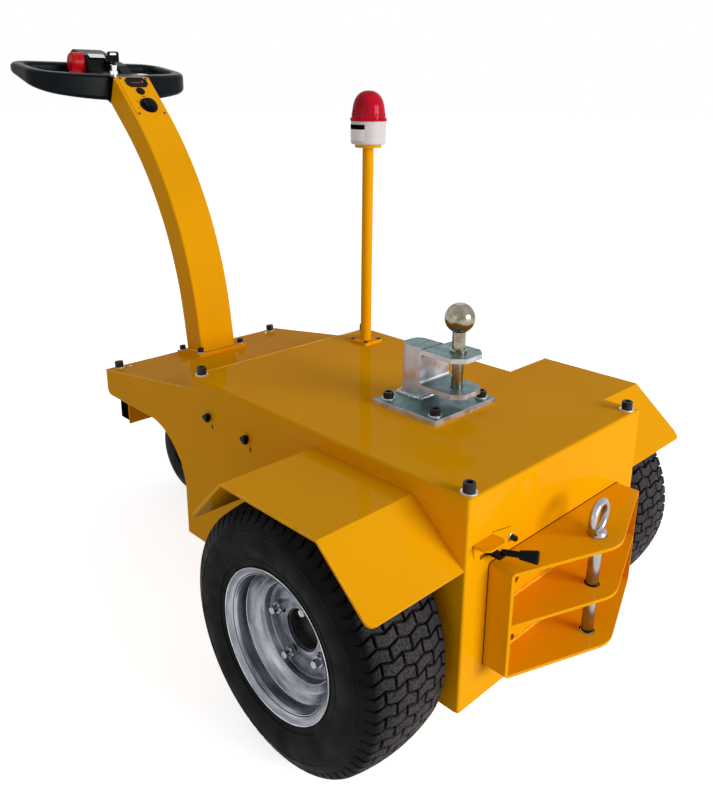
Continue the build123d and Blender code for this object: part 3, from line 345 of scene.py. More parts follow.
def shade_smooth(mesh, angle):
    """Faces shade smooth, and edges sharper than the angle stay crisp."""
    mesh.polygons.foreach_set("use_smooth", [True] * len(mesh.polygons))
    bm = bmesh.new()
    bm.from_mesh(mesh)
    limit = math.radians(angle)
    for edge in bm.edges:
        edge.smooth = len(edge.link_faces) == 2 and edge.calc_face_angle(0) < limit
    bm.to_mesh(mesh)
    bm.free()


def piece(name, bm, body, slot, material=None, replaces=(), angle=32.0):
    bmesh.ops.recalc_face_normals(bm, faces=bm.faces)
    mesh = bpy.data.meshes.new(name)
    bm.to_mesh(mesh)
    bm.free()
    shade_smooth(mesh, angle)
    obj = bpy.data.objects.new(name, mesh)
    bpy.context.scene.collection.objects.link(obj)
    mesh.materials.append(material or M[slot])
    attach(obj, body)
    if replaces:
        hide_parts(*replaces)


def basis(origin, z_axis, x_axis=None):
    """A frame at the origin with its Z along z_axis and its X as near to x_axis as it can be."""
    z = Vector(z_axis).normalized()
    x = Vector(x_axis) if x_axis is not None else (X if abs(z.dot(X)) < 0.9 else Y)
    x = (x - z * x.dot(z)).normalized()
    y = z.cross(x)
    m = Matrix((x, y, z)).transposed().to_4x4()
    m.translation = Vector(origin)
    return m


def outward(angle):
    return Vector((math.cos(angle), math.sin(angle), 0))


def ahead_of_axle(x):
    """Millimetres ahead of the rear axle, as at() takes them, from the frame's X in metres."""
    return x / MM - AXLE_X / MM


def bridge(bm, low, high):
    """Faces between two closed rows with the same number of vertices."""
    for k in range(len(low)):
        n = (k + 1) % len(low)
        bm.faces.new((low[k], low[n], high[n], high[k]))


def shaped(radius, angle, form="round"):
    if form == "hex":
        return radius / math.cos((angle % (math.pi / 3)) - math.pi / 6)
    if form == "lobes":
        return radius * (0.84 + 0.16 * math.cos(3 * angle))
    return radius


def rings(bm, rows, where, segments, phase=0.0):
    """Closed shape of revolution from rows of (radius, height) in mm.

    A third item "hex" makes the row a hexagon of that half width, and "lobes" a three-lobed star.
    """
    made = []
    for radius, height, *form in rows:
        if radius == 0:
            made.append([bm.verts.new(where @ Vector((0, 0, height * MM)))])
            continue
        ring = []
        for k in range(segments):
            angle = 2 * math.pi * k / segments + phase
            r = shaped(radius * MM, angle, *form)
            ring.append(bm.verts.new(where @ Vector((r * math.cos(angle), r * math.sin(angle), height * MM))))
        made.append(ring)
    for low, high in zip(made, made[1:]):
        for k in range(segments):
            n = (k + 1) % segments
            corners = [low[k % len(low)], low[n % len(low)], high[n % len(high)], high[k % len(high)]]
            unique = list(dict.fromkeys(corners))
            if len(unique) > 2:
                bm.faces.new(unique)


def washer(bm, where, radius, height):
    rings(bm, ((0, 0), (radius, 0), (radius, height - 0.4), (radius - 0.5, height), (0, height)), where, 36)


def socket_screw(bm, where, head, height, socket):
    """A cap screw's head: its radius and height, and half the width of its hexagon socket."""
    edge = head * 0.1
    rows = (
        (0, 0),
        (head, 0),
        (head, height - edge),
        (head - edge, height),
        (socket + 0.6, height),
        (socket, height - 0.7, "hex"),
        (socket, height * 0.45, "hex"),
        (0, height * 0.38),
    )
    rings(bm, rows, where, 36)


def hex_nut(bm, where, flat, height, bore, stud, phase):
    """A nut on the end of its stud."""
    edge = flat * 0.12
    rows = (
        (0, 0),
        (flat, 0, "hex"),
        (flat, height - edge, "hex"),
        (flat - edge * 0.3, height),
        (bore, height),
        (bore, stud - 1.2),
        (bore - 1.2, stud),
        (0, stud),
    )
    rings(bm, rows, where, 36, phase)


def sweep(bm, path, radius, sides=6, ripple=0.0):
    """A round bar along a path in metres, its radius in mm, with an uneven surface when ripple is given."""
    last = len(path) - 1
    made = []
    for i, point in enumerate(path):
        back = path[i - 1] if i else point
        ahead = path[i + 1] if i < last else point
        along = (ahead - back).normalized()
        across = along.cross(Z if abs(along.dot(Z)) < 0.9 else X).normalized()
        up = across.cross(along)
        r = radius * MM * (1 + ripple * (draw.random() - 0.5 + 0.6 * math.sin(i * 2.1)))
        ring = []
        for k in range(sides):
            a = 2 * math.pi * k / sides
            ring.append(bm.verts.new(point + r * (math.cos(a) * across + math.sin(a) * up)))
        made.append(ring)
    for low, high in zip(made, made[1:]):
        bridge(bm, low, high)
    bm.faces.new(made[0])
    bm.faces.new(made[-1][::-1])


def hoop(bm, middle, across, up, radius, wire, count, sides):
    """A round wire bent to a circle, its sizes in mm."""
    normal = across.cross(up)
    made = []
    for k in range(count):
        a = 2 * math.pi * k / count
        out = math.cos(a) * across + math.sin(a) * up
        ring = []
        for j in range(sides):
            b = 2 * math.pi * j / sides
            spot = out * (radius + wire * math.cos(b)) + normal * wire * math.sin(b)
            ring.append(bm.verts.new(middle + spot * MM))
        made.append(ring)
    for k, low in enumerate(made):
        bridge(bm, low, made[(k + 1) % count])


def weld(bm, start, end, radius, step, wander=0.0):
    """One bead laid in ripples from start to end."""
    length = (end - start).length
    count = max(3, int(length / (step * MM)))
    path = [start.lerp(end, i / count) for i in range(count + 1)]
    if wander:
        path = [point + Vector([draw.uniform(-wander, wander) * MM for _ in range(3)]) for point in path]
    sweep(bm, path, radius, 8, 0.16)


def plate(bm, where, outline, thickness, edge, lift=0.0):
    """A flat piece with a small broken edge, its outline in mm in the local X and Y."""
    middle = Vector((sum(x for x, _ in outline) / len(outline), sum(y for _, y in outline) / len(outline)))
    half = max((Vector(corner) - middle).length for corner in outline)
    rows = []
    for height, inset in ((0, 0), (thickness - edge, 0), (thickness, edge)):
        scale = 1 - inset / half
        row = []
        for x, y in outline:
            x, y = middle.x + (x - middle.x) * scale, middle.y + (y - middle.y) * scale
            row.append(bm.verts.new(where @ Vector((x * MM, y * MM, (lift + height) * MM))))
        rows.append(row)
    for low, high in zip(rows, rows[1:]):
        bridge(bm, low, high)
    bm.faces.new(rows[-1])
    bm.faces.new(rows[0][::-1])


def rounded(width, height, radius, steps=5):
    """Outline of a rectangle with round corners."""
    points = []
    for cx, cy, start in ((1, 1, 0), (-1, 1, 90), (-1, -1, 180), (1, -1, 270)):
        for k in range(steps + 1):
            a = math.radians(start + 90 * k / steps)
            x = cx * (width / 2 - radius) + radius * math.cos(a)
            y = cy * (height / 2 - radius) + radius * math.sin(a)
            points.append((x, y))
    return points


# ------------------------------------------------------------------ drive tyres
CROWN = 205.0
CROWN_ARC = 276.25
CROWN_HALF = 62.0
CROWN_STEPS = 31
SHOULDER_BEND, SHOULDER_END = (196.2, 68.6), (188.0, 72.6)
SHOULDER_STEPS = 8
SHOULDER_FOOT = ((184.0, 74.6), (180.0, 76.4))
# (radius, out) from the shoulder past the sidewall's rings to the bead
SIDEWALL = (
    (172.5, 78.9),
    (171.0, 79.3),
    (170.2, 80.3),
    (169.2, 80.3),
    (168.4, 79.9),
    (162.0, 81.1),
    (150.0, 81.0),
    (140.0, 79.9),
    (131.0, 78.0),
    (129.6, 78.6),
    (127.6, 78.2),
    (126.6, 76.6),
    (120.0, 75.4),
    (117.2, 74.6),
    (116.2, 72.0),
    (104.0, 70.0),
)
BANDS = 66
ZIGZAG = 18.0
ZIGZAG_RISE = 3.1
GROOVE = 3.9
CUT = 4.2
TREAD_DEPTH = 6.5
FADE_START = 60.0
BLOCK_EDGE = 0.9
BLOCK_FLARE, BLOCK_SINK = 0.7, 0.6
ODD_CUTS = tuple(ZIGZAG * k for k in (-3, -1, 1, 3))
EVEN_CUTS = tuple(ZIGZAG * k for k in (-2, 0, 2))


def outer_line():
    """The tyre's outer line from the crown down the shoulder, as (distance along it, radius, out) rows."""
    points = []
    for i in range(CROWN_STEPS + 1):
        out = CROWN_HALF * i / CROWN_STEPS
        points.append((CROWN - CROWN_ARC + math.sqrt(CROWN_ARC**2 - out**2), out))
    start = points[-1]
    for i in range(1, SHOULDER_STEPS + 1):
        t = i / SHOULDER_STEPS
        weights = (1 - t) ** 2, 2 * t * (1 - t), t * t
        corners = zip(start, SHOULDER_BEND, SHOULDER_END)
        points.append(tuple(sum(w * c for w, c in zip(weights, corner)) for corner in corners))
    points.extend(SHOULDER_FOOT)
    rows, run = [(0.0, *points[0])], 0.0
    for before, point in zip(points, points[1:]):
        run += math.dist(before, point)
        rows.append((run, *point))
    return rows


OUTER = outer_line()
REACH = OUTER[-1][0]


def on_outer(run):
    """Radius, out and the outward normal at a distance along the outer line."""
    sign = -1 if run < 0 else 1
    run = min(abs(run), REACH)
    for (a, r0, o0), (b, r1, o1) in zip(OUTER, OUTER[1:]):
        if run <= b:
            t = (run - a) / (b - a)
            dr, do = r1 - r0, o1 - o0
            size = math.hypot(dr, do)
            return r0 + dr * t, sign * (o0 + do * t), do / size, -sign * dr / size
    raise ValueError(run)


def groove_depth(run):
    fade = (REACH - abs(run)) / (REACH - FADE_START)
    return TREAD_DEPTH * max(0.0, min(1.0, fade))


def zigzag(run):
    """Circumferential offset of the tread bands, up at 18 and 54 mm and down at 0 and 36 mm."""
    t = (abs(run) / ZIGZAG) % 2
    return ZIGZAG_RISE * (2 * (t if t < 1 else 2 - t) - 1)


def wheel_point(centre_y, radius, out, angle):
    ahead, rise = -radius * MM * math.cos(angle), radius * MM * math.sin(angle)
    return Vector((AXLE_X + ahead, centre_y + out * MM, WHEEL_Z + rise))


def block_stops(start, end):
    """Where a block gets a row: at its ends, just inside them, and at every quarter of ZIGZAG."""
    stops = {start, start + BLOCK_EDGE, end - BLOCK_EDGE, end}
    quarter, clear = ZIGZAG / 4, 1.5
    for k in range(math.ceil(start / quarter), math.ceil(end / quarter)):
        if start + clear < k * quarter < end - clear:
            stops.add(k * quarter)
    return sorted(stops)


def tread_block(bm, centre_y, angle, start, end):
    """One block between two distances along the outer line, following the zigzag."""
    half = (2 * math.pi * CROWN / BANDS - GROOVE) / 2
    rows = []
    for run in block_stops(start, end):
        r, o, nr, no = on_outer(run)
        depth = groove_depth(run)
        shoulder = min(BLOCK_EDGE, depth)
        lip = shoulder if run in (start, end) else 0.0
        row = []
        for across, down in (
            (-half - BLOCK_FLARE, depth + BLOCK_SINK),
            (-half, shoulder),
            (-half + BLOCK_EDGE, lip),
            (half - BLOCK_EDGE, lip),
            (half, shoulder),
            (half + BLOCK_FLARE, depth + BLOCK_SINK),
        ):
            spin = angle + (zigzag(run) + across) / CROWN
            row.append(bm.verts.new(wheel_point(centre_y, r - nr * down, o - no * down, spin)))
        rows.append(row)
    for low, high in zip(rows, rows[1:]):
        for k in range(len(low) - 1):
            bm.faces.new((low[k], low[k + 1], high[k + 1], high[k]))
    bm.faces.new(rows[0])
    bm.faces.new(rows[-1][::-1])


def carcass(bm, centre_y):
    """The tyre without its blocks: groove floor, shoulder, sidewall with its rings, bead."""
    half = []
    for run, _, _ in OUTER[::3] + [OUTER[-1]]:
        r, o, nr, no = on_outer(run)
        depth = groove_depth(run)
        half.append((r - nr * depth, o - no * depth))
    half.extend(SIDEWALL)
    line = [(r, -o) for r, o in reversed(half)] + half[1:]
    segments = BANDS * 2
    made = []
    for k in range(segments):
        angle = 2 * math.pi * k / segments
        made.append([bm.verts.new(wheel_point(centre_y, r, o, angle)) for r, o in line])
    for k, row in enumerate(made):
        bridge(bm, row, made[(k + 1) % segments])


def drive_tyre(side, sign):
    bm = bmesh.new()
    centre_y = sign * TRACK
    carcass(bm, centre_y)
    edge = REACH - 1.5
    for band in range(BANDS):
        cuts = ODD_CUTS if band % 2 else EVEN_CUTS
        starts = [-edge] + [cut + CUT / 2 for cut in cuts]
        ends = [cut - CUT / 2 for cut in cuts] + [edge]
        for start, end in zip(starts, ends):
            tread_block(bm, centre_y, 2 * math.pi * band / BANDS, start, end)
    piece(f"turf_tyre_{side}", bm, f"wheel_{side}", "tyre", replaces=(f"tyre_{side}",))


for side, sign in SIDES:
    drive_tyre(side, sign)

# ------------------------------------------------------------------ wheel nuts
DISC_FACE = 23.0
STUD_CIRCLE = 51.0
STUD_ANGLES = (19.0, 112.0, 209.0, 295.0)


def on_disc(sign, circle, angle, out):
    """A frame on the wheel's disc, circle mm from the axle's line and out mm from the wheel's middle."""
    ahead, rise = circle * MM * math.cos(angle), circle * MM * math.sin(angle)
    return basis((AXLE_X + ahead, sign * (TRACK + out * MM), WHEEL_Z + rise), (0, sign, 0))


def wheel_nuts(side, sign):
    bm = bmesh.new()
    for degrees in STUD_ANGLES:
        angle = math.radians(degrees)
        spot = on_disc(sign, STUD_CIRCLE, angle, DISC_FACE)
        hex_nut(bm, spot, flat=8.5, height=9.0, bore=6.0, stud=19.0, phase=angle)
    piece(f"wheel_nuts_{side}", bm, f"wheel_{side}", "galvanised", material=M["pin"])


for side, sign in SIDES:
    wheel_nuts(side, sign)

# ------------------------------------------------------------------ screws on the body
SLOPE = math.radians(8.25)
DECK_REAR, DECK_REAR_Z = 452, 424.6
deck_normal = Vector((math.sin(SLOPE), 0, math.cos(SLOPE)))
deck_ahead = Vector((math.cos(SLOPE), 0, -math.sin(SLOPE)))
half_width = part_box("side_plate_left")[1].y / MM
lid_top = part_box("lid")[1].z / MM
hitch_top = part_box("hitch_plate")[1].z / MM
beacon_x, beacon_y = ahead_of_axle(centre("beacon_dome").x), centre("beacon_dome").y / MM

# the washer's (radius, thickness), then the head's (radius, height, half width of its socket)
LID_SIZE = (12.0, 2.2), (9.0, 13.5, 5.0)
DECK_SIZE = (10.5, 2.0), (9.0, 13.0, 5.0)
FLANGE_SIZE = (8.0, 1.6), (6.8, 9.5, 3.8)
HITCH_SIZE = (11.0, 2.0), (9.0, 10.5, 5.0)
LID_SCREWS = ((-185, 211), (-185, -211), (440, 210), (440, -210))
DECK_SCREWS = ((765, 205), (765, -205))
FLANGE_SCREWS = ((680, 53), (680, -53), (753, 53), (753, -53))
HITCH_SCREWS = ((4, 60), (4, -60), (107, 60), (107, -60))
BEACON_SCREWS = ((-19, -19), (-19, 19), (19, -19), (19, 19))
FLANGE_PLATE = 8.0
BEACON_FLANGE_TOP = 456.0
BEACON_SCREW = ((0, 0), (4.6, 0), (4.4, 1.6), (3.0, 2.6), (0, 2.8))


def deck_spot(ahead, y, lift=0.0):
    """A point on the sloping nose deck, raised along its normal."""
    return at(ahead, y, DECK_REAR_Z - (ahead - DECK_REAR) * math.tan(SLOPE)) + deck_normal * lift * MM


def body_screws():
    screws, washers = bmesh.new(), bmesh.new()

    def cap_screw(spot, normal, under, head):
        """A screw on its washer, which lies on the plate at spot."""
        washer(washers, basis(spot, normal), *under)
        socket_screw(screws, basis(spot + normal * under[1] * MM, normal), *head)

    for ahead, y in LID_SCREWS:
        cap_screw(at(ahead, y, lid_top), Z, *LID_SIZE)
    for ahead, y in DECK_SCREWS:
        cap_screw(deck_spot(ahead, y), deck_normal, *DECK_SIZE)
    for ahead, y in FLANGE_SCREWS:
        cap_screw(deck_spot(ahead, y, FLANGE_PLATE), deck_normal, *FLANGE_SIZE)
    for ahead, y in HITCH_SCREWS:
        cap_screw(at(ahead, y, hitch_top), Z, *HITCH_SIZE)
    for dx, dy in BEACON_SCREWS:
        rings(screws, BEACON_SCREW, basis(at(beacon_x + dx, beacon_y + dy, BEACON_FLANGE_TOP), Z), 20)
    piece("body_screws", screws, "chassis", "dark_steel", material=M["black_oxide"])
    piece("body_washers", washers, "chassis", "zinc", material=M["washer"])


body_screws()

# ------------------------------------------------------------------ side knobs, their slots, deck rivets
KNOBS = ((392, 387), (279, 381))
KNOB = (
    (0, 0),
    (4.6, 0),
    (4.6, 2.4),
    (8.6, 3.0, "lobes"),
    (9.2, 4.4, "lobes"),
    (9.2, 8.6, "lobes"),
    (8.0, 10.2, "lobes"),
    (3, 10.8),
    (0, 10.2),
)
SLOT_BACK, SLOT_DROP = 8.5, 18
RIVET = ((0, 0), (3.0, 0), (2.8, 0.9), (1.6, 1.5), (0, 1.7))
RIVET_X, RIVET_Y = 757, 184


def knobs_and_rivets():
    knobs, slots, rivets = bmesh.new(), bmesh.new(), bmesh.new()
    for sign in (1, -1):
        for ahead, z in KNOBS:
            rings(knobs, KNOB, basis(at(ahead, sign * half_width, z), (0, sign, 0)), 36)
            spot = at(ahead - SLOT_BACK, sign * (half_width + 0.02), z - SLOT_DROP)
            plate(slots, basis(spot, (0, sign, 0), x_axis=X), rounded(3.4, 9, 1.6), 0.25, edge=0.1)
        rings(rivets, RIVET, basis(deck_spot(RIVET_X, sign * RIVET_Y), deck_normal), 18)
    piece("side_knobs", knobs, "chassis", "black_plastic")
    # the slots are thin dark plates, painted shade where the side has slots
    piece("side_slots", slots, "chassis", "dark_steel", material=M["seam"])
    piece("deck_rivets", rivets, "chassis", "zinc", material=M["bright"])


knobs_and_rivets()

# ------------------------------------------------------------------ sheet edges
DECK_FRONT = 778
PLATE_REAR, PLATE_LOW, PLATE_FRONT = -194, 113.2, 766
ARCH_X, ARCH_Z, ARCH_RADIUS, ARCH_STEPS = 608, 199, 125, 14
LID_REAR, LID_FRONT, LID_LOW, LID_SEAM_Z = -198, 450, 425.3, 449.4
NOSE_SEAMS = ((277, 424, 0.5), (425, 449, 0.8))  # (low, high, radius)
FENDER_REAR, FENDER_FRONT = (-198, 344), (185, 338)
FENDER_TOP_HALF, FENDER_TOP_Z = 103, 424


def side_edges(bm, y):
    sweep(bm, [deck_spot(DECK_REAR + 0.5, y, 0.2), deck_spot(DECK_FRONT, y, 0.2)], 0.9)
    for low, high, radius in NOSE_SEAMS:
        sweep(bm, [at(DECK_REAR, y, low), at(DECK_REAR, y, high)], radius)
    sweep(bm, [at(PLATE_REAR, y, PLATE_LOW), at(ARCH_X - ARCH_RADIUS, y, PLATE_LOW)], 0.8)
    path = [at(ARCH_X - ARCH_RADIUS, y, 114)]
    for k in range(ARCH_STEPS + 1):
        a = math.radians(90 * k / ARCH_STEPS)
        path.append(at(ARCH_X - ARCH_RADIUS * math.cos(a), y, ARCH_Z + ARCH_RADIUS * math.sin(a)))
    path.append(at(PLATE_FRONT, y, ARCH_Z + ARCH_RADIUS))
    sweep(bm, path, 0.8)
    sweep(bm, [at(LID_REAR, y, LID_LOW), at(LID_FRONT, y, LID_LOW)], 0.6)


def fender_edges(bm, side, sign):
    low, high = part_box(f"fender_{side}")
    outer = sign * (max(abs(low.y), abs(high.y)) / MM - 0.2)
    inner = sign * (half_width + 1.0)
    path = [
        at(FENDER_REAR[0] + 9, outer, FENDER_REAR[1] + 7.6),
        at(-FENDER_TOP_HALF, outer, FENDER_TOP_Z),
        at(FENDER_TOP_HALF, outer, FENDER_TOP_Z),
        at(FENDER_FRONT[0] - 8, outer, FENDER_FRONT[1] + 8.4),
    ]
    sweep(bm, path, 0.8)
    for (x, z), inset in ((FENDER_REAR, 0.8), (FENDER_FRONT, -0.6)):
        x, z = x + inset, z - 0.4
        sweep(bm, [at(x, inner, z), at(x, outer - sign * 11, z)], 0.9)


def sheet_edges():
    bm = bmesh.new()
    for sign in (1, -1):
        side_edges(bm, sign * half_width)
    ends = (-half_width + 1, half_width - 1)
    sweep(bm, [deck_spot(DECK_FRONT + 0.6, y, 0.2) for y in ends], 0.9)
    ends = (-half_width + 5, half_width - 5)
    sweep(bm, [at(DECK_REAR, y, LID_SEAM_Z) for y in ends], 0.8)
    for side, sign in SIDES:
        fender_edges(bm, side, sign)
    # the edges are in lighter paint, a painted highlight
    piece("sheet_edges", bm, "chassis", "yellow", material=M["edge"])


sheet_edges()

# ------------------------------------------------------------------ welds
# all in millimetres: the column's foot on its flange, and the hitch post on its plate
FOOT_REAR = 716 - 25.5
FOOT_LENGTH, FOOT_HALF, FOOT_BEAD_HALF = 58.0, 45.5, 43.0
POST_REAR, POST_FRONT, POST_HALF = 66, 118, 25
POST_SEAM_LOW, POST_SEAM_HIGH = 484, 548
# beads as (radius, ripple step) and, where they wander, by how much
FOOT_BEAD = 2.0, 2.4
WALL_BEAD = 1.7, 3.0, 0.5
POST_BEAD = 3.6, 3.0, 0.9
POST_SEAM_BEAD = 2.4, 2.8, 0.5

shelf_low, shelf_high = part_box("coupler_shelf")
coupler_low, coupler_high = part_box("coupler_frame")
panel_x = ahead_of_axle(coupler_high.x)


def painted_welds():
    bm = bmesh.new()
    foot = deck_spot(FOOT_REAR, 0, FLANGE_PLATE)
    front = foot + deck_ahead * FOOT_LENGTH * MM
    for sign in (1, -1):
        beside = Y * sign * FOOT_HALF * MM
        weld(bm, foot + beside, front + beside, *FOOT_BEAD)
    reach = Y * FOOT_BEAD_HALF * MM
    for end in (foot, front):
        weld(bm, end - reach, end + reach, *FOOT_BEAD)
    # shelf and lower plate of the coupler against the rear panel and its side walls
    for z, half, radius in (
        (shelf_high.z / MM + 0.6, 168, 2.1),
        (coupler_low.z / MM + 5.6, 166, 2.1),
        (coupler_low.z / MM - 0.4, 170, 1.8),
    ):
        weld(bm, at(panel_x - 0.8, -half, z), at(panel_x - 0.8, half, z), radius, 3.4, 0.8)
    for sign in (1, -1):
        y = sign * (coupler_high.y / MM - 5.4)
        for z in (shelf_high.z / MM + 0.5, shelf_low.z / MM - 0.5):
            weld(bm, at(panel_x - 2, y, z), at(panel_x - 37, y, z), *WALL_BEAD)
    # the beads are in lighter paint, a painted highlight
    piece("painted_welds", bm, "chassis", "yellow", material=M["edge"])


def hitch_welds():
    bm = bmesh.new()
    beside = POST_HALF + 0.4
    for start, end in (
        ((POST_REAR, -POST_HALF), (POST_REAR, POST_HALF)),
        ((POST_REAR, beside), (POST_FRONT, beside)),
        ((POST_FRONT, POST_HALF), (POST_FRONT, -POST_HALF)),
        ((POST_FRONT, -beside), (POST_REAR, -beside)),
    ):
        weld(bm, at(*start, hitch_top + 1.2), at(*end, hitch_top + 1.2), *POST_BEAD)
    for y in (POST_HALF + 0.6, -POST_HALF - 0.6):
        weld(bm, at(POST_REAR, y, POST_SEAM_LOW), at(POST_REAR, y, POST_SEAM_HIGH), *POST_SEAM_BEAD)
    piece("hitch_welds", bm, "chassis", "zinc", material=M["weld"])


painted_welds()
hitch_welds()

# ------------------------------------------------------------------ seams
# (y, z) points of the cuts either side of the latch hood
HOOD_CUTS = (((217, 378), (215, 368), (212, 357)), 0.55), (((174, 382), (131, 374)), 0.45)


def seams():
    bm = bmesh.new()
    half = coupler_high.y / MM
    line = [(half + 0.2, 168), (half + 0.2, 333), (half - 4, 335.2)]
    line += [(-y, z) for y, z in reversed(line)]
    # dark lines of painted shade along the gaps round the coupler and beside the latch hood
    sweep(bm, [at(panel_x - 0.1, y, z) for y, z in line], 0.9)
    for cut, radius in HOOD_CUTS:
        sweep(bm, [at(panel_x - 0.05, y, z) for y, z in cut], radius)
    piece("seams", bm, "chassis", "dark_steel", material=M["seam"])


seams()

# ------------------------------------------------------------------ latch stud
LATCH_Y, LATCH_Z = 127.5, 356
LATCH_WASHER = ((0, 0), (6.4, 0), (6.4, 1.2), (5.9, 1.6), (0, 1.6))
LATCH_STUD = ((0, 1.6), (4.4, 1.6), (4.4, 8.5), (3.6, 9.4), (2.2, 9.4), (2.0, 7.2), (0, 7.0))
for name, profile, slot, finish in (
    ("latch_washer", LATCH_WASHER, "zinc", "washer"),
    ("latch_stud", LATCH_STUD, "dark_steel", "black_oxide"),
):
    bm = bmesh.new()
    rings(bm, profile, basis(at(panel_x, LATCH_Y, LATCH_Z), -X), 28)
    piece(name, bm, "chassis", slot, material=M[finish])

# ------------------------------------------------------------------ control panel
PANEL_TILT = math.radians(45.3)
PANEL_SHEET = 1.5
panel_up = Vector((math.sin(PANEL_TILT), 0, math.cos(PANEL_TILT)))
panel_out = Vector((-math.cos(PANEL_TILT), 0, math.sin(PANEL_TILT)))
# the box's highest corner is the sheet's outer top edge; places count from 1 mm up from its inner one
panel_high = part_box("control_panel")[1]
outer_top_edge = Vector((panel_high.x - PANEL_SHEET * MM * math.cos(PANEL_TILT), 0, panel_high.z))
panel_origin = outer_top_edge - panel_out * PANEL_SHEET * MM + panel_up * MM

PANEL_SCREWS = ((-32, -5), (32.5, -5), (31.5, -111), (-32, -111))
PANEL_SCREW = ((0, 0), (2.9, 0), (2.7, 0.9), (1.8, 1.5), (0, 1.6))
PANEL_DOTS = ((-21, -75), (-24.5, -93))
PANEL_DOT = ((0, 0), (1.6, 0), (1.5, 0.25), (0, 0.25))
WINDOW_X, WINDOW_Y, WINDOW_CORNER = 21.5, 11.5, 5.0
METER_LAMP = ((0, 0), (2.4, 0), (2.1, 1.0), (1.2, 1.7), (0, 1.9))
BARS, BAR_PITCH = 10, 2.4
# places on the panel: mm to the right, up, and out from its back
MARK_PLACE = (1.6, -61)
WINDOW_PLACE = (3, -18, 2.95)
BAR_X, BAR_Y, BAR_LIFT = -11, -19.5, 3.4
LAMP_PLACE = (17.0, -17.0, 3.3)


def on_panel(right_mm, up_mm, lift=PANEL_SHEET):
    spot = panel_origin + Vector((0, -right_mm * MM, 0)) + panel_up * up_mm * MM + panel_out * lift * MM
    return basis(spot, panel_out, x_axis=-Y)


def window_outline():
    """The meter's window: a rectangle with its corners cut off."""
    x, y = WINDOW_X - WINDOW_CORNER, WINDOW_Y - WINDOW_CORNER
    half = [(-WINDOW_X, -y), (-x, -WINDOW_Y), (x, -WINDOW_Y), (WINDOW_X, -y)]
    return half + [(-a, -b) for a, b in half]


def panel_details():
    bm = bmesh.new()
    for x, y in PANEL_SCREWS:
        rings(bm, PANEL_SCREW, on_panel(x, y), 18)
    for x, y in PANEL_DOTS:
        rings(bm, PANEL_DOT, on_panel(x, y), 14)
    piece("panel_screws", bm, "chassis", "dark_steel", material=M["black_oxide"])
    bm = bmesh.new()
    plate(bm, on_panel(*MARK_PLACE), rounded(7, 3.2, 1.5), 0.2, edge=0.1)
    piece("panel_mark", bm, "chassis", "red_plastic")


def meter_details():
    """The window with its row of bars and the lamp beside them."""
    bm = bmesh.new()
    plate(bm, on_panel(*WINDOW_PLACE), window_outline(), 0.5, edge=0.3)
    piece("meter_window", bm, "chassis", "black_plastic", material=M["window"])
    bm = bmesh.new()
    for k in range(BARS):
        spot = on_panel(BAR_X + k * BAR_PITCH, BAR_Y, BAR_LIFT)
        plate(bm, spot, rounded(1.5, 3.8, 0.4), 0.15, edge=0.05)
    piece("meter_bars", bm, "chassis", "red_plastic", material=M["bars"])
    bm = bmesh.new()
    rings(bm, METER_LAMP, on_panel(*LAMP_PLACE), 24)
    piece("meter_lamp", bm, "chassis", "red_plastic", material=M["lamp_red"])


panel_details()
meter_details()

# ------------------------------------------------------------------ beacon
DOME = (
    (0, 0),
    (35.2, 0),
    (35.6, 1.2),
    (35.2, 4.2),
    (34.0, 5.0),
    (33.2, 5.4),
    (32.9, 9),
    (32.5, 14),
    (31.9, 20),
    (31.0, 26),
    (29.7, 32),
    (27.9, 38),
    (25.2, 43.6),
    (21.4, 48.6),
    (16.6, 52.6),
    (11.2, 55.4),
    (5.6, 56.7),
    (0, 57),
)
GRIPS, GRIP_RADIUS, GRIP_Z, GRIP_HEIGHT = 36, 33.6, 0.4, 5.6
RIBS, RIB_RADIUS, RIB_Z, RIB_DEPTH = 30, 32.2, 10.5, 0.95
# the label on the base, its start and sweep in degrees and its bands' heights in mm
LABEL_START, LABEL_SWEEP, LABEL_STEPS = 46, 77, 24
LABEL_RADIUS, LABEL_BACK, LABEL_FACE = 34.5, 0.05, 0.35
LABEL_BANDS = (("beacon_label", "label", 862, 883), ("beacon_label_band", "black_rim", 883, 892))


def beacon_lens():
    """The dome, with grips round its rim and ribs low down on its wall."""
    foot = at(beacon_x, beacon_y, 0)
    foot.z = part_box("beacon_dome")[0].z
    bm = bmesh.new()
    rings(bm, DOME, basis(foot, Z), 72)
    for k in range(GRIPS):
        out = outward(2 * math.pi * k / GRIPS)
        spot = foot + out * GRIP_RADIUS * MM + Z * GRIP_Z * MM
        plate(bm, basis(spot, Z, x_axis=out), rounded(4.4, 3.0, 0.8), GRIP_HEIGHT, edge=0.5)
    for k in range(RIBS):
        out = outward(2 * math.pi * (k + 0.5) / RIBS)
        spot = foot + out * RIB_RADIUS * MM + Z * RIB_Z * MM
        plate(bm, basis(spot, out, x_axis=Z.cross(out)), rounded(3.4, 8.5, 1.6), RIB_DEPTH, edge=0.8)
    piece("beacon_lens", bm, "chassis", "red_lens", replaces=("beacon_dome",), angle=40)


def label_band(name, finish, low_z, high_z):
    """A bare band of the label, wrapped on the base."""
    bm = bmesh.new()
    middle = at(beacon_x, beacon_y, 0)
    section = (
        (LABEL_BACK, low_z),
        (LABEL_FACE, low_z + 0.3),
        (LABEL_FACE, high_z - 0.3),
        (LABEL_BACK, high_z),
    )
    rows = []
    for k in range(LABEL_STEPS + 1):
        out = outward(math.radians(LABEL_START + LABEL_SWEEP * k / LABEL_STEPS))
        row = [bm.verts.new(middle + out * (LABEL_RADIUS + lift) * MM + Z * z * MM) for lift, z in section]
        rows.append(row)
    for low, high in zip(rows, rows[1:]):
        for k in range(len(section) - 1):
            bm.faces.new((low[k], high[k], high[k + 1], low[k + 1]))
    piece(name, bm, "chassis", "white_plastic", material=M[finish])


